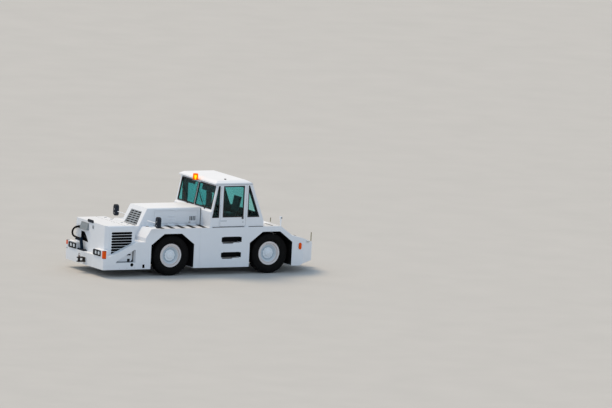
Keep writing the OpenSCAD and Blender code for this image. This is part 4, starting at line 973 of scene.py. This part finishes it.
def beacon():
    """A ribbed dome over its lit core, on a bracket at the roof's front edge."""
    base, dome, core, bracket = builds(4)
    x, y, z = screen_x(ROOF_LOW) + 0.188, middle("beacon", Y), ROOF_LOW
    place = lambda a, b, h: (x + a, y + b, z + h)
    base.lathe([(0, 0), (0.093, 0), (0.093, 0.010), (0.088, 0.014), (0.086, 0.02), (0, 0.02)], place, 48)
    profile = [(0.0, 0.0205), (0.088, 0.0205), (0.0895, 0.034)]
    for k in range(10):
        r, h = 0.0888 - k * 0.0005, 0.040 + k * 0.0145
        profile += [(r, h), (r - 0.0014, h + 0.0073)]
    profile += [(0.0832, 0.188), (0.077, 0.197), (0.062, 0.203), (0.03, 0.2046), (0, 0.2048)]
    dome.lathe(profile, place, 48)
    core.lathe([(0.0, 0.025), (0.020, 0.025), (0.022, 0.066), (0.034, 0.078), (0.036, 0.13), (0.026, 0.148),
                (0, 0.153)], place, 24)
    top, rib = 2.858, 0.003
    bracket.box((screen_x(z) + 0.012, y - 0.07, top), (x + 0.07, y + 0.07, 2.8695))
    for rib_y in (y - 0.06, y + 0.06):
        foot = screen_x(2.83)
        bracket.box((foot + 0.001, rib_y - 0.006, 2.80), (foot + 0.03, rib_y + 0.006, top))
        bracket.prism([(screen_x(top) + 0.004, top), (x + 0.02, top), (screen_x(2.81) + 0.004, 2.79)],
                      in_xz(rib_y), -rib, rib)
    base.make("beacon_base", "matt_black")
    core.make("beacon_core", "bulb")
    dome.make("beacon_lens", "beacon", smooth=50, replaces=("beacon",))
    bracket.make("beacon_bracket", "cabin", bevel=0.002)


headlamps()
corner_lamps()
side_markers()
tail_lamps()
work_lamp()
beacon()


# Mirrors
def mirrors():
    """Door mirrors with stepped shells on long arms, each bolted to its deck."""
    heads, glasses, arms, feet = builds(4)
    x, foot_y, arm_z = fx(0.66), 0.70, 1.70
    outline = rounded(1.302, 1.557, 1.538, 1.913, 0.085, 8)
    shell = (0.045, 0.048, 0.054), (0.02, 0.034, 0.048), (0.0, 0.012, 0.034), (0.0, -0.05, 0.012)
    for inset, h0, h1 in shell:
        heads.prism(offset(outline, -inset), in_yz(x), h0, h1)
    glasses.prism(offset(outline, -0.014), in_yz(x, -1), 0.0505, 0.0525)
    bend = [(foot_y, 1.512), (foot_y, 1.66), (0.714, 1.69), (0.745, arm_z), (1.31, arm_z)]
    arms.tube(smooth_path([(x, y, z) for y, z in bend], 6), 0.0128, 14)
    for z in (1.64, 1.76):
        arms.tube([(x + 0.0535, 1.40, z), (x + 0.054, 1.44, z)], 0.008, 8)
    feet.prism(rounded(x - 0.045, foot_y - 0.04, x + 0.045, foot_y + 0.04, 0.015), in_xy(DECK_Z), 0, 0.01)
    bolts = [(x + p, foot_y + q, DECK_Z + 0.01) for p in (-0.03, 0.03) for q in (-0.025, 0.025)]
    feet.hexes(bolts, (0, 0, 1), 0.013, 0.008)
    heads.mirror().make("mirror_heads", "mirror_shell", bevel=0.004, replaces=("mirrors",))
    glasses.mirror().make("mirror_glasses", "mirror")
    arms.mirror().make("mirror_arms", "cabin", slot="lamp_frame")
    feet.mirror().make("mirror_feet", "zinc")


def oval_mirror():
    """The small mirror at the nose's upper front edge."""
    shell, glazing = builds(2)
    outline = rounded(-0.168, 1.576, 0.208, 1.668, 0.045, 8)
    for inset, h0, h1 in ((0.0, 0.001, 0.024), (0.006, 0.024, 0.030), (0.016, 0.030, 0.0335)):
        shell.prism(offset(outline, -inset), in_yz(NOSE_X), h0, h1)
    glazing.prism(offset(outline, -0.008), in_yz(NOSE_X, -1), 0.0, 0.0015)
    shell.box((NOSE_X - 0.03, -0.02, 1.588), (NOSE_X + 0.002, 0.06, 1.60))
    shell.make("front_oval_mirror", "mirror_shell", bevel=0.002)
    glazing.make("front_oval_mirror_glass", "mirror")


mirrors()
oval_mirror()


# Nose: the connector's node holds the flap, the cable's post and the post's arm
ARM_Y, FLAP_LEFT = span("connector_box", Y)
POST_LOW, FLAP_HIGH = span("connector_box", Z)
FLAP_RIGHT, FLAP_LOW = -0.6, 1.303
POST_Y, POST_HIGH = -0.36, 1.05


def connector_flap():
    flap, hinge = builds(2)
    x, foot, top = NOSE_X, 0.074, 0.012
    lean = round((foot - top) / (FLAP_HIGH - FLAP_LOW), 4)
    wedge = [(x, FLAP_LOW), (x + foot, FLAP_LOW), (x + top, FLAP_HIGH), (x, FLAP_HIGH)]
    flap.prism(wedge, lambda a, b, h: (a, h, b), FLAP_RIGHT, FLAP_LEFT)
    slope = lambda a, b, h: (x + top + (FLAP_HIGH - b) * lean + h, a, b)
    rim = rounded(FLAP_RIGHT + 0.025, FLAP_LOW + 0.023, FLAP_LEFT - 0.025, FLAP_HIGH - 0.02, 0.02)
    flap.ring(rim, slope, 0.0, 0.008, -0.002, 0.003)
    hinge.tube([(x + 0.010, y, FLAP_HIGH + 0.003) for y in (FLAP_RIGHT + 0.03, FLAP_LEFT - 0.03)], 0.007, 10)
    hinge.prism(rounded(-0.39, 1.308, -0.325, 1.335, 0.01), slope, 0.0, 0.0045)
    flap.make("connector_flap", "flap", bevel=0.004, replaces=("connector_box",))
    return hinge


def cable_post():
    """A square post that leans forward, with its foot plate and the arm that holds the socket."""
    post, bolts = builds(2)
    x, half, plate = fx(2.37), 0.041, 0.04
    lean = lambda z: x + 0.06 * (z - POST_LOW) / (POST_HIGH - POST_LOW)
    post.put([(lean(z) + p, POST_Y + q, z) for z in (POST_LOW, POST_HIGH)
              for p, q in rectangle(-half, -half, half, half)],
             [(0, 1, 2, 3), (4, 7, 6, 5), (0, 4, 5, 1), (1, 5, 6, 2), (2, 6, 7, 3), (3, 7, 4, 0)])
    post.box((fx(2.3927), ARM_Y, 0.935), (fx(2.44), POST_Y, 0.975))
    post.prism(rounded(fx(2.31), -0.57, fx(2.43), -0.15, 0.012), in_xy(POST_LOW), 0, plate)
    spots = [(p, q) for p in (-0.038, 0.038) for q in (-0.18, -0.09, 0.09, 0.18)]
    bolts.hexes([(x + p, POST_Y + q, POST_LOW + plate) for p, q in spots], (0, 0, 1), 0.018, 0.012)
    bolts.hexes([(fx(2.44), -0.70, 0.955), (fx(2.44), -0.44, 0.955)], (1, 0, 0), 0.016, 0.009)
    post.make("cable_post", "post", bevel=0.005, replaces=("connector_box",))
    return bolts


def connector():
    hinge = connector_flap()
    bolts = cable_post()
    hinge.make("connector_flap_hinge", "zinc")
    bolts.make("cable_post_bolts", "steel")
    # The recess behind, with a black sheet painting the flap's shadow in it, and two sockets
    liner, socket = builds(2)
    recess = offset([(-0.6, 0.95), (-0.1, 0.925), (-0.236, 1.105), (-0.38, 1.228), (-0.6, 1.228)], -0.001)
    liner.put([(NOSE_X + h, a, b) for h in (-0.001, -0.16) for a, b in recess],
              [(i, (i + 1) % 5, 5 + (i + 1) % 5, 5 + i) for i in range(5)] + [(5, 6, 7, 8, 9)])
    for y, reach, r, sides in ((-0.34, 0.05, 0.05, 20), (-0.50, 0.06, 0.034, 16)):
        socket.tube([(NOSE_X - 0.155, y, 1.06), (NOSE_X - reach, y, 1.06)], r, sides)
    liner.make("recess_shadow_sheet", "liner")
    socket.make("recess_sockets", "black", bevel=0.002)


def nose_trim():
    """A black strip of painted shade at the grille's foot, the joint and latches of the nose's lid, and the
    front weight's bolts.
    """
    foot, seam, latches, bolts = builds(4)
    # Painted shade: a black strip where the grille meets the deck
    foot.box((fx(0.892), -0.40, DECK_Z), (fx(0.935), 0.40, DECK_Z + 0.004))
    foot.make("grille_foot_shade_strip", "liner")
    seam.box((fx(1.60), -0.99, NOSE_TOP - 0.001), (fx(1.606), 0.99, NOSE_TOP + 0.0012))
    seam.make("nose_lid_joint", "seal", slot="louvre_paint")
    y, z = 0.18, 1.448
    latches.prism(rounded(y - 0.05, 1.40, y + 0.05, 1.505, 0.02), in_yz(NOSE_X), 0, 0.008)
    latches.tube([(NOSE_X + 0.008, y, z), (NOSE_X + 0.025, y, z)], 0.012, 14)
    for y in (-0.75, -0.35, 0.35, 0.75):
        latches.prism(rounded(fx(1.34), y - 0.02, fx(1.42), y + 0.02, 0.008), in_xy(NOSE_TOP), 0, 0.012)
    latches.make("nose_latches", "grille", bevel=0.0015)
    bolts.hexes([(WEIGHT_X, -0.48 + 0.12 * k, 0.60) for k in range(9)], (1, 0, 0), 0.014, 0.006)
    for d in (1.33, 1.60, 1.87):
        bolts.hexes([(fx(d), HALF_W, 0.29), (fx(d), -HALF_W, 0.29)], (0, 1, 0), 0.02, 0.004)
    bolts.make("front_weight_bolts", "hitch")


def couplings():
    """Tow pins with their rings, the plates' bolts, and a black pad and sleeve in the front jaws as painted
    shade of their mouth.
    """
    pins, bolts, mouth = builds(3)
    front_x, front_z = span("front_hitch", X)[1] - 0.075, middle("front_hitch", Z)
    tail_x, tail_z = span("rear_hitch", X)[0] + 0.09, middle("rear_hitch", Z)
    pin_r, shoulder, cap = 0.0205, 0.10, 0.115
    loop = [(-0.03, cap), (-0.045, 0.15), (-0.03, 0.19), (0.03, 0.19), (0.045, 0.15), (0.03, cap)]
    for x, z, cap_r, plate_x, bolt_y, out in ((front_x, front_z, 0.034, WEIGHT_X + 0.021, 0.085, 1),
                                              (tail_x, tail_z, 0.036, TAIL_X - 0.021, 0.095, -1)):
        pins.tube([(x, 0, z - 0.09), (x, 0, z + shoulder)], pin_r, 20)
        pins.tube([(x, 0, z + shoulder), (x, 0, z + cap)], cap_r, 20)
        pins.tube(smooth_path([(x, y, z + up) for y, up in loop], 5), 0.007, 8)
        spots = [(plate_x, s * bolt_y, z + q) for s in (-1, 1) for q in (-0.03, 0.03)]
        bolts.hexes(spots, (out, 0, 0), 0.022, 0.012)
    pins.make("tow_pins", "rust", bevel=0.001)
    bolts.make("coupling_bolts", "steel")
    # Painted shade: a black pad and sleeve fill the front jaws' mouth
    mouth.box((WEIGHT_X + 0.0215, -0.085, front_z - 0.043), (WEIGHT_X + 0.026, 0.085, front_z + 0.043))
    mouth.tube([(front_x, 0, front_z - 0.042), (front_x, 0, front_z + 0.042)], 0.038, 20)
    mouth.make("coupling_mouth_shade_pad", "matt_black", slot="cable_rubber", bevel=0.001)


def tail_trim():
    """Thin rods on the tail and the rear deck, the grab handle's sleeve and the lid's catches."""
    rods, sleeve, catches = builds(3)
    rods.tube([(fx(-5.325), 0.575, 0.905), (fx(-5.325), 0.575, 1.1885)], 0.0134, 14)
    rods.tube([(fx(-3.98), 0.3, DECK_Z + 0.002), (fx(-3.98), 0.3, 1.645)], 0.0125, 14)
    rods.make("marker_rods", "olive")
    # The slanting side runs back and inwards at 45 degrees, and the handle stands 30 mm off it
    along, off = Vector((-0.7071, -0.7071, 0)), Vector((-0.7071, 0.7071, 0)) * 0.03
    start = Vector((fx(-4.7), HALF_W, 0.95)) + off
    sleeve.tube([start + along * 0.235, start + along * 0.515], 0.0144, 12)
    sleeve.make("tail_grab_sleeve", "olive")
    lid_z = lambda x: 1.1 - (AXLE_X - x - 4.7) * 0.22 / 0.65
    catches.prism(rounded(fx(-4.80), 0.50, fx(-4.72), 0.56, 0.01),
                  lambda a, b, h: (a, b, lid_z(a) + h), -0.002, 0.014)
    catches.mirror().make("tail_lid_catches", "matt_black", bevel=0.002)


connector()
nose_trim()
couplings()
tail_trim()


# Foot holes under the doors: heights of the middle and of the opening, the two ends and the back
FOOT_HOLES = (1.115, 0.19), (0.628, 0.185)
HOLE_REAR, HOLE_FRONT, HOLE_BACK = fx(-2.45), fx(-1.75), 1.0505


def foot_holes():
    """Treads with raised round teeth, and black sheets as painted shade inside the holes."""
    treads, teeth, shade_sheets = builds(3)
    tooth = [(0.013, 0.004), (0.011, 0.008), (0.006, 0.008), (0.005, 0.004)]
    for z, high in FOOT_HOLES:
        low = z - high / 2
        treads.box((HOLE_REAR, 1.07, low + 0.0005), (HOLE_FRONT, 1.235, low + 0.004))
        for k in range(17):
            for m in range(4):
                x, y = HOLE_REAR + 0.03 + k * 0.04, 1.09 + m * 0.042
                teeth.lathe(tooth, lambda a, b, h: (x + a, y + b, low + h), 8)
        outline = rounded(HOLE_REAR - 0.008, low + 0.002, HOLE_FRONT + 0.008, z + high / 2 - 0.002, 0.02)
        shade_sheets.prism(outline, in_xz(HOLE_BACK), 0, 0.001)
        shade_sheets.ring(outline, in_xz(HOLE_BACK), 0.0, 0.0015, 0.0, 0.19)
    treads.mirror().make("foot_treads", "zinc")
    teeth.mirror().make("foot_tread_teeth", "zinc")
    shade_sheets.mirror().make("foot_hole_shade_sheets", "liner")


foot_holes()


# Wheels
def wheel_place(x, side):
    """Places (a, b, outward) about a wheel's axle."""
    return lambda a, b, h: (x + a, side * (WHEEL_Y + h), AXLE_Z + b)


# Half of a tyre's section, as (radius, distance from its middle), from the bead to the crown
TYRE_HALF = [
    (0.342, 0.0875), (0.372, 0.108), (0.379, 0.125), (0.384, 0.139), (0.392, 0.141), (0.400, 0.149),
    (0.440, 0.167), (0.462, 0.172), (0.468, 0.177), (0.486, 0.1785), (0.492, 0.1775), (0.512, 0.1795),
    (0.540, 0.1785), (0.546, 0.175), (0.552, 0.1785), (0.575, 0.1715), (0.598, 0.163), (0.607, 0.156),
    (0.6145, 0.140), (0.6175, 0.12), (0.619, 0.06), (0.619, 0.0),
]
TREAD_BLOCKS = 44


def put_block(build, place, t0, t1, y0, y1, skew, lows, tops):
    """A tread block between two angles and two distances from the middle, with its radii at each."""
    count = 3
    pts, faces = [], []
    for k in range(count):
        for y, low, top in ((y0, lows[0], tops[0]), (y1, lows[1], tops[1])):
            t = t0 + (t1 - t0) * k / (count - 1) + skew * (y - y0)
            pts += [place(r * math.cos(t), r * math.sin(t), y) for r in (low, top)]
    for i in range(0, 4 * (count - 1), 4):
        faces += [(i, i + 1, i + 5, i + 4), (i + 2, i + 6, i + 7, i + 3), (i + 1, i + 3, i + 7, i + 5),
                  (i, i + 4, i + 6, i + 2)]
    last = 4 * (count - 1)
    build.put(pts, faces + [(0, 2, 3, 1), (last, last + 1, last + 3, last + 2)])


def tyre(name, x, side):
    """Section with its beads and rings, shoulder lugs that wrap over the edge, and two rows of blocks."""
    place = wheel_place(x, side)
    b = Build()
    b.lathe(TYRE_HALF + [(r, -h) for r, h in reversed(TYRE_HALF[:-1])], place, 96, closed=True)
    step = math.tau / TREAD_BLOCKS
    lug_in, edge, lug_out, skew = 0.078, 0.136, 0.158, 0.35
    shift = skew * (edge - lug_in)
    for k in range(TREAD_BLOCKS):
        for s in (-1, 1):
            t = k * step + (step / 2 if s < 0 else 0)
            end = t + step * 0.66
            put_block(b, place, t, end, s * lug_in, s * edge, -s * skew, (0.612, 0.612), (0.6396, 0.6388))
            put_block(b, place, t - shift, end - shift, s * edge, s * lug_out, -s * 0.2, (0.608, 0.596),
                      (0.6388, 0.622))
            t += step * 0.3
            put_block(b, place, t, t + step * 0.72, s * 0.006, s * 0.070, s * 0.7, (0.613, 0.613),
                      (0.6398, 0.6398))
    b.make(f"tyre_tread_{name}", "tyre", f"wheel_{name}", smooth=30, replaces=(f"tyre_{name}",))


def wheel_trim(name, x, side):
    """Wheel nuts, hub bolts and cap, the valve, and dust on the rim's flange."""
    nuts, cap, valve, dust = builds(4)
    place = wheel_place(x, side)
    axis = (0, side, 0)
    ring = lambda r, count, h, turn=0.0: [place(r * c, r * s, h) for c, s in circle(count, turn)]
    nut_circle, foot, nut = 0.168, 0.050, 0.024
    nuts.hexes(ring(nut_circle, 10, foot), axis, 0.033, nut)
    for c in ring(nut_circle, 10, foot + nut):
        nuts.tube([c, add(c, (0, side * 0.010, 0))], 0.009, 10)
    nuts.hexes(ring(0.072, 8, 0.100, 0.5), axis, 0.017, 0.010)
    cap.lathe([(0.0, 0.122), (0.032, 0.121), (0.040, 0.116), (0.044, 0.100)], place, 36)
    a, r = math.radians(75), 0.300
    foot, tip = [place(r * math.cos(a), r * math.sin(a), h) for h in (0.062, 0.105)]
    valve.tube([foot, tip], [0.007, 0.005], 10)
    valve.tube([tip, add(tip, (0, side * 0.012, 0))], 0.0065, 10)
    dust.lathe([(0.3725, 0.1105), (0.3725, 0.1275), (0.352, 0.1285)], place, 64)
    for build, part, material in ((nuts, "nuts", "rim"), (cap, "cap", "rim"), (valve, "valve", "zinc"),
                                  (dust, "flange", "flange")):
        build.make(f"wheel_{name}_{part}", material, f"wheel_{name}")


for name, x, side in (("front_left", AXLE_X, 1), ("front_right", AXLE_X, -1),
                      ("rear_left", REAR_X, 1), ("rear_right", REAR_X, -1)):
    tyre(name, x, side)
    wheel_trim(name, x, side)


# Seats
PAD_EDGE, VOXEL, CLOTH_FRAMES = 0.022, 0.011, 16
CHANNEL_W, CHANNEL_DEPTH = 0.006, 0.007


def apply_modifiers(obj):
    dg = bpy.context.evaluated_depsgraph_get()
    mesh = bpy.data.meshes.new_from_object(obj.evaluated_get(dg))
    obj.modifiers.clear()
    obj.data = mesh


def blow_up(obj):
    """Runs the cloth solver under pressure, with no gravity."""
    cloth = obj.modifiers.new("cloth", "CLOTH").settings
    cloth.quality = 5
    cloth.mass = 0.3
    cloth.tension_stiffness = cloth.compression_stiffness = 18
    cloth.bending_stiffness = 4
    cloth.use_pressure = True
    cloth.uniform_pressure_force = 4
    cloth.effector_weights.gravity = 0
    scene = bpy.context.scene
    for f in range(1, CLOTH_FRAMES + 1):
        scene.frame_set(f)
    apply_modifiers(obj)
    scene.frame_set(1)


def padded_form(name, a, b, place, channels, crown):
    """A pad blown up by at most crown inside its box, then sewn channels pressed in."""
    mesh = bpy.data.meshes.new(name)
    bm = bmesh.new()
    bmesh.ops.create_cube(bm, size=1)
    lo, hi = Vector(a), Vector(b)
    size = hi - lo
    for v in bm.verts:
        v.co = Vector([lo[i] + (hi[i] - lo[i]) * (v.co[i] + 0.5) for i in range(3)])
    bmesh.ops.bevel(bm, geom=bm.edges[:], offset=PAD_EDGE, segments=3, profile=0.6, affect="EDGES")
    bm.to_mesh(mesh)
    bm.free()
    obj = link(name, mesh)
    m = obj.modifiers.new("remesh", "REMESH")
    m.mode, m.voxel_size = "VOXEL", VOXEL
    apply_modifiers(obj)
    rest = [v.co.copy() for v in obj.data.vertices]
    blow_up(obj)
    for v, r in zip(obj.data.vertices, rest):
        d = v.co - r
        if d.length > crown:
            d *= crown / d.length
        v.co = r + d
    thin = min(range(3), key=lambda i: size[i])
    wide = [i for i in range(3) if i != thin]
    for v in obj.data.vertices:
        u = [(v.co[i] - lo[i]) / size[i] for i in range(3)]
        edge = min(min(u[i], 1 - u[i]) for i in wide)
        if u[thin] > 0.5:
            press = max(math.exp(-((v.co[i] - at) / CHANNEL_W) ** 2) for i, at in channels) * CHANNEL_DEPTH
            v.co[thin] += crown * 0.6 * min(1, edge * 4) - press * min(1, edge * 8)
        v.co[thin] = max(v.co[thin], lo[thin])
    obj.data.transform(place)
    sub = obj.modifiers.new("smooth", "SUBSURF")
    sub.levels = sub.render_levels = 1
    obj.data.materials.append(M["vinyl"])
    obj.data.polygons.foreach_set("use_smooth", [True] * len(obj.data.polygons))
    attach(obj, "root")
    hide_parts("seats")


def put_seat_frame(frames, front, rear, y):
    """Foot plate, ribbed bellows, seat pan and the bars behind the back."""
    frames.box((front - 0.39, y - 0.20, FLOOR_Z + 0.001), (front - 0.07, y + 0.20, FLOOR_Z + 0.05))
    for k in range(6):
        z, fold = 1.604 + k * 0.026, k % 2
        frames.box((front - 0.385 + 0.004 * fold, y - 0.19 + 0.01 * fold, z),
                   (front - 0.075 - 0.004 * fold, y + 0.19 - 0.01 * fold, z + 0.023))
    frames.box((rear + 0.06, y - 0.225, 1.762), (front - 0.03, y + 0.225, 1.783))
    bar = ((0.09, 1.775), (0.04, 1.86), (-0.055, 2.36))
    for bar_y in (y - 0.19, y + 0.19):
        frames.tube([(rear + d, bar_y, z) for d, z in bar], 0.013, 10)
    frames.tube([(rear - 0.055, y - 0.19, 2.36), (rear - 0.055, y + 0.19, 2.36)], 0.013, 10)


def seats():
    frames = Build()
    front = span("seats", X)[1]
    rear = front - 0.5
    for name, y in (("driver", 0.56), ("mate", -0.56)):
        padded_form(f"{name}_seat_cushion", (rear + 0.10, y - 0.235, 1.785),
                    (front - 0.012, y + 0.235, 1.872), Matrix.Identity(4),
                    [(X, rear + 0.25), (X, front - 0.12), (Y, y - 0.15), (Y, y + 0.15)], 0.014)
        tilt = Matrix.Translation((rear + 0.075, y, 1.90)) @ Matrix.Rotation(-math.atan2(0.12, 0.56), 4, "Y")
        padded_form(f"{name}_seat_back", (-0.062, -0.225, 0.0), (-0.004, 0.225, 0.53), tilt,
                    [(Z, 0.14), (Z, 0.40), (Y, -0.14), (Y, 0.14)], 0.012)
        put_seat_frame(frames, front, rear, y)
    frames.make("seat_frames", "matt_black", slot="cab_plastic", bevel=0.003, replaces=("seats",))


seats()


# Cab inside
def sun_visors():
    visors, arms = builds(2)
    for y0, y1, low in ((-0.98, -0.36, 2.66), (0.14, 1.02, 2.58)):
        visors.prism(rounded(y0, low, y1, 2.80, 0.04),
                     lambda a, b, h: (screen_x(b) - 0.075 - h, a, b), 0, 0.014)
        for y in (y0 + 0.08, y1 - 0.08):
            arms.tube([(screen_x(2.78) - 0.085, y, 2.79), (screen_x(2.84) - 0.095, y, 2.847)], 0.007, 8)
    visors.make("sun_visors", "mirror_shell", bevel=0.003)
    arms.make("sun_visor_arms", "zinc", slot="cab_plastic")


def dashboard_dials():
    """Three round dials and a row of six switches on the dashboard's rear face."""
    dials, rims, pads = builds(3)
    x = CAB_FRONT - 0.337
    for y in (0.42, 0.56, 0.70):
        place = lambda a, b, h: (x - h, y + a, 1.895 + b)
        rims.lathe([(0.046, 0.0), (0.046, 0.008), (0.040, 0.008), (0.038, 0.002)], place, 28)
        dials.lathe([(0.039, 0.003), (0.0, 0.003)], place, 28)
    for k in range(6):
        pads.prism(rounded(-0.12 + k * 0.05, 1.875, -0.085 + k * 0.05, 1.915, 0.006), in_yz(x, -1), 0, 0.008)
    rims.make("dash_dial_rims", "black", slot="cab_plastic")
    dials.make("dash_dials", "dial", slot="cab_plastic")
    pads.make("dash_switches", "black", slot="cab_plastic", bevel=0.002)


def roof_lining():
    z = 2.85
    Build().box((rear_x(z) + 0.08, -1.165, 2.845), (screen_x(z) - 0.08, 1.165, 2.868)).make(
        "roof_lining", "dash", bevel=0.004)


sun_visors()
dashboard_dials()
roof_lining()


# Floor, light and view
FLOOR, FLOOR_PATCH = (0.460, 0.456, 0.441), (0.482, 0.476, 0.460)
SKY, SKY_STRENGTH, SKY_SEEN = (0.81, 0.99, 1.20, 1), 0.675, (0.60, 0.59, 0.575, 1)
SUN_FROM, SUN_STRENGTH, SUN_WIDTH, SUN_COLOUR = (0.22, -0.50, 0.95), 2.3, 30, (1.0, 0.785, 0.545)


def studio_floor():
    half = 90
    floor = bpy.data.meshes.new("floor")
    floor.from_pydata([(*corner, 0) for corner in rectangle(-half, -half, half, half)], [], [(0, 1, 2, 3)])
    n = Nodes("studio_floor")
    n.colour(n.mix(n.spread(n.noise(0.6, 4), 0, 1), FLOOR, FLOOR_PATCH))
    n.set(Roughness=0.9)
    floor.materials.append(n.mat)
    link("studio_floor", floor)


def studio_world():
    """A soft sky lights the scene; the camera, gloss and glass see a plain backdrop instead."""
    world = bpy.data.worlds.new("studio")
    bpy.context.scene.world = world
    world.use_nodes = True
    nodes, links = world.node_tree.nodes, world.node_tree.links
    nodes.clear()
    lit, seen = nodes.new("ShaderNodeBackground"), nodes.new("ShaderNodeBackground")
    lit.inputs[0].default_value, lit.inputs[1].default_value = SKY, SKY_STRENGTH
    seen.inputs[0].default_value, seen.inputs[1].default_value = SKY_SEEN, 1.0
    path = nodes.new("ShaderNodeLightPath")
    direct = path.outputs["Is Camera Ray"]
    for key in ("Is Transmission Ray", "Is Glossy Ray"):
        either = nodes.new("ShaderNodeMath")
        either.operation = "MAXIMUM"
        links.new(direct, either.inputs[0])
        links.new(path.outputs[key], either.inputs[1])
        direct = either.outputs[0]
    mix, out = nodes.new("ShaderNodeMixShader"), nodes.new("ShaderNodeOutputWorld")
    for source, socket in ((direct, mix.inputs[0]), (lit.outputs[0], mix.inputs[1]),
                           (seen.outputs[0], mix.inputs[2]), (mix.outputs[0], out.inputs[0])):
        links.new(source, socket)


def studio_sun():
    data = bpy.data.lights.new("key", "SUN")
    data.energy, data.angle, data.color = SUN_STRENGTH, math.radians(SUN_WIDTH), SUN_COLOUR
    lamp = link("key", data)
    lamp.rotation_mode = "QUATERNION"
    lamp.rotation_quaternion = Vector(SUN_FROM).to_track_quat("Z", "Y")


studio_floor()
studio_world()
studio_sun()
bpy.context.scene.view_settings.view_transform = "Standard"
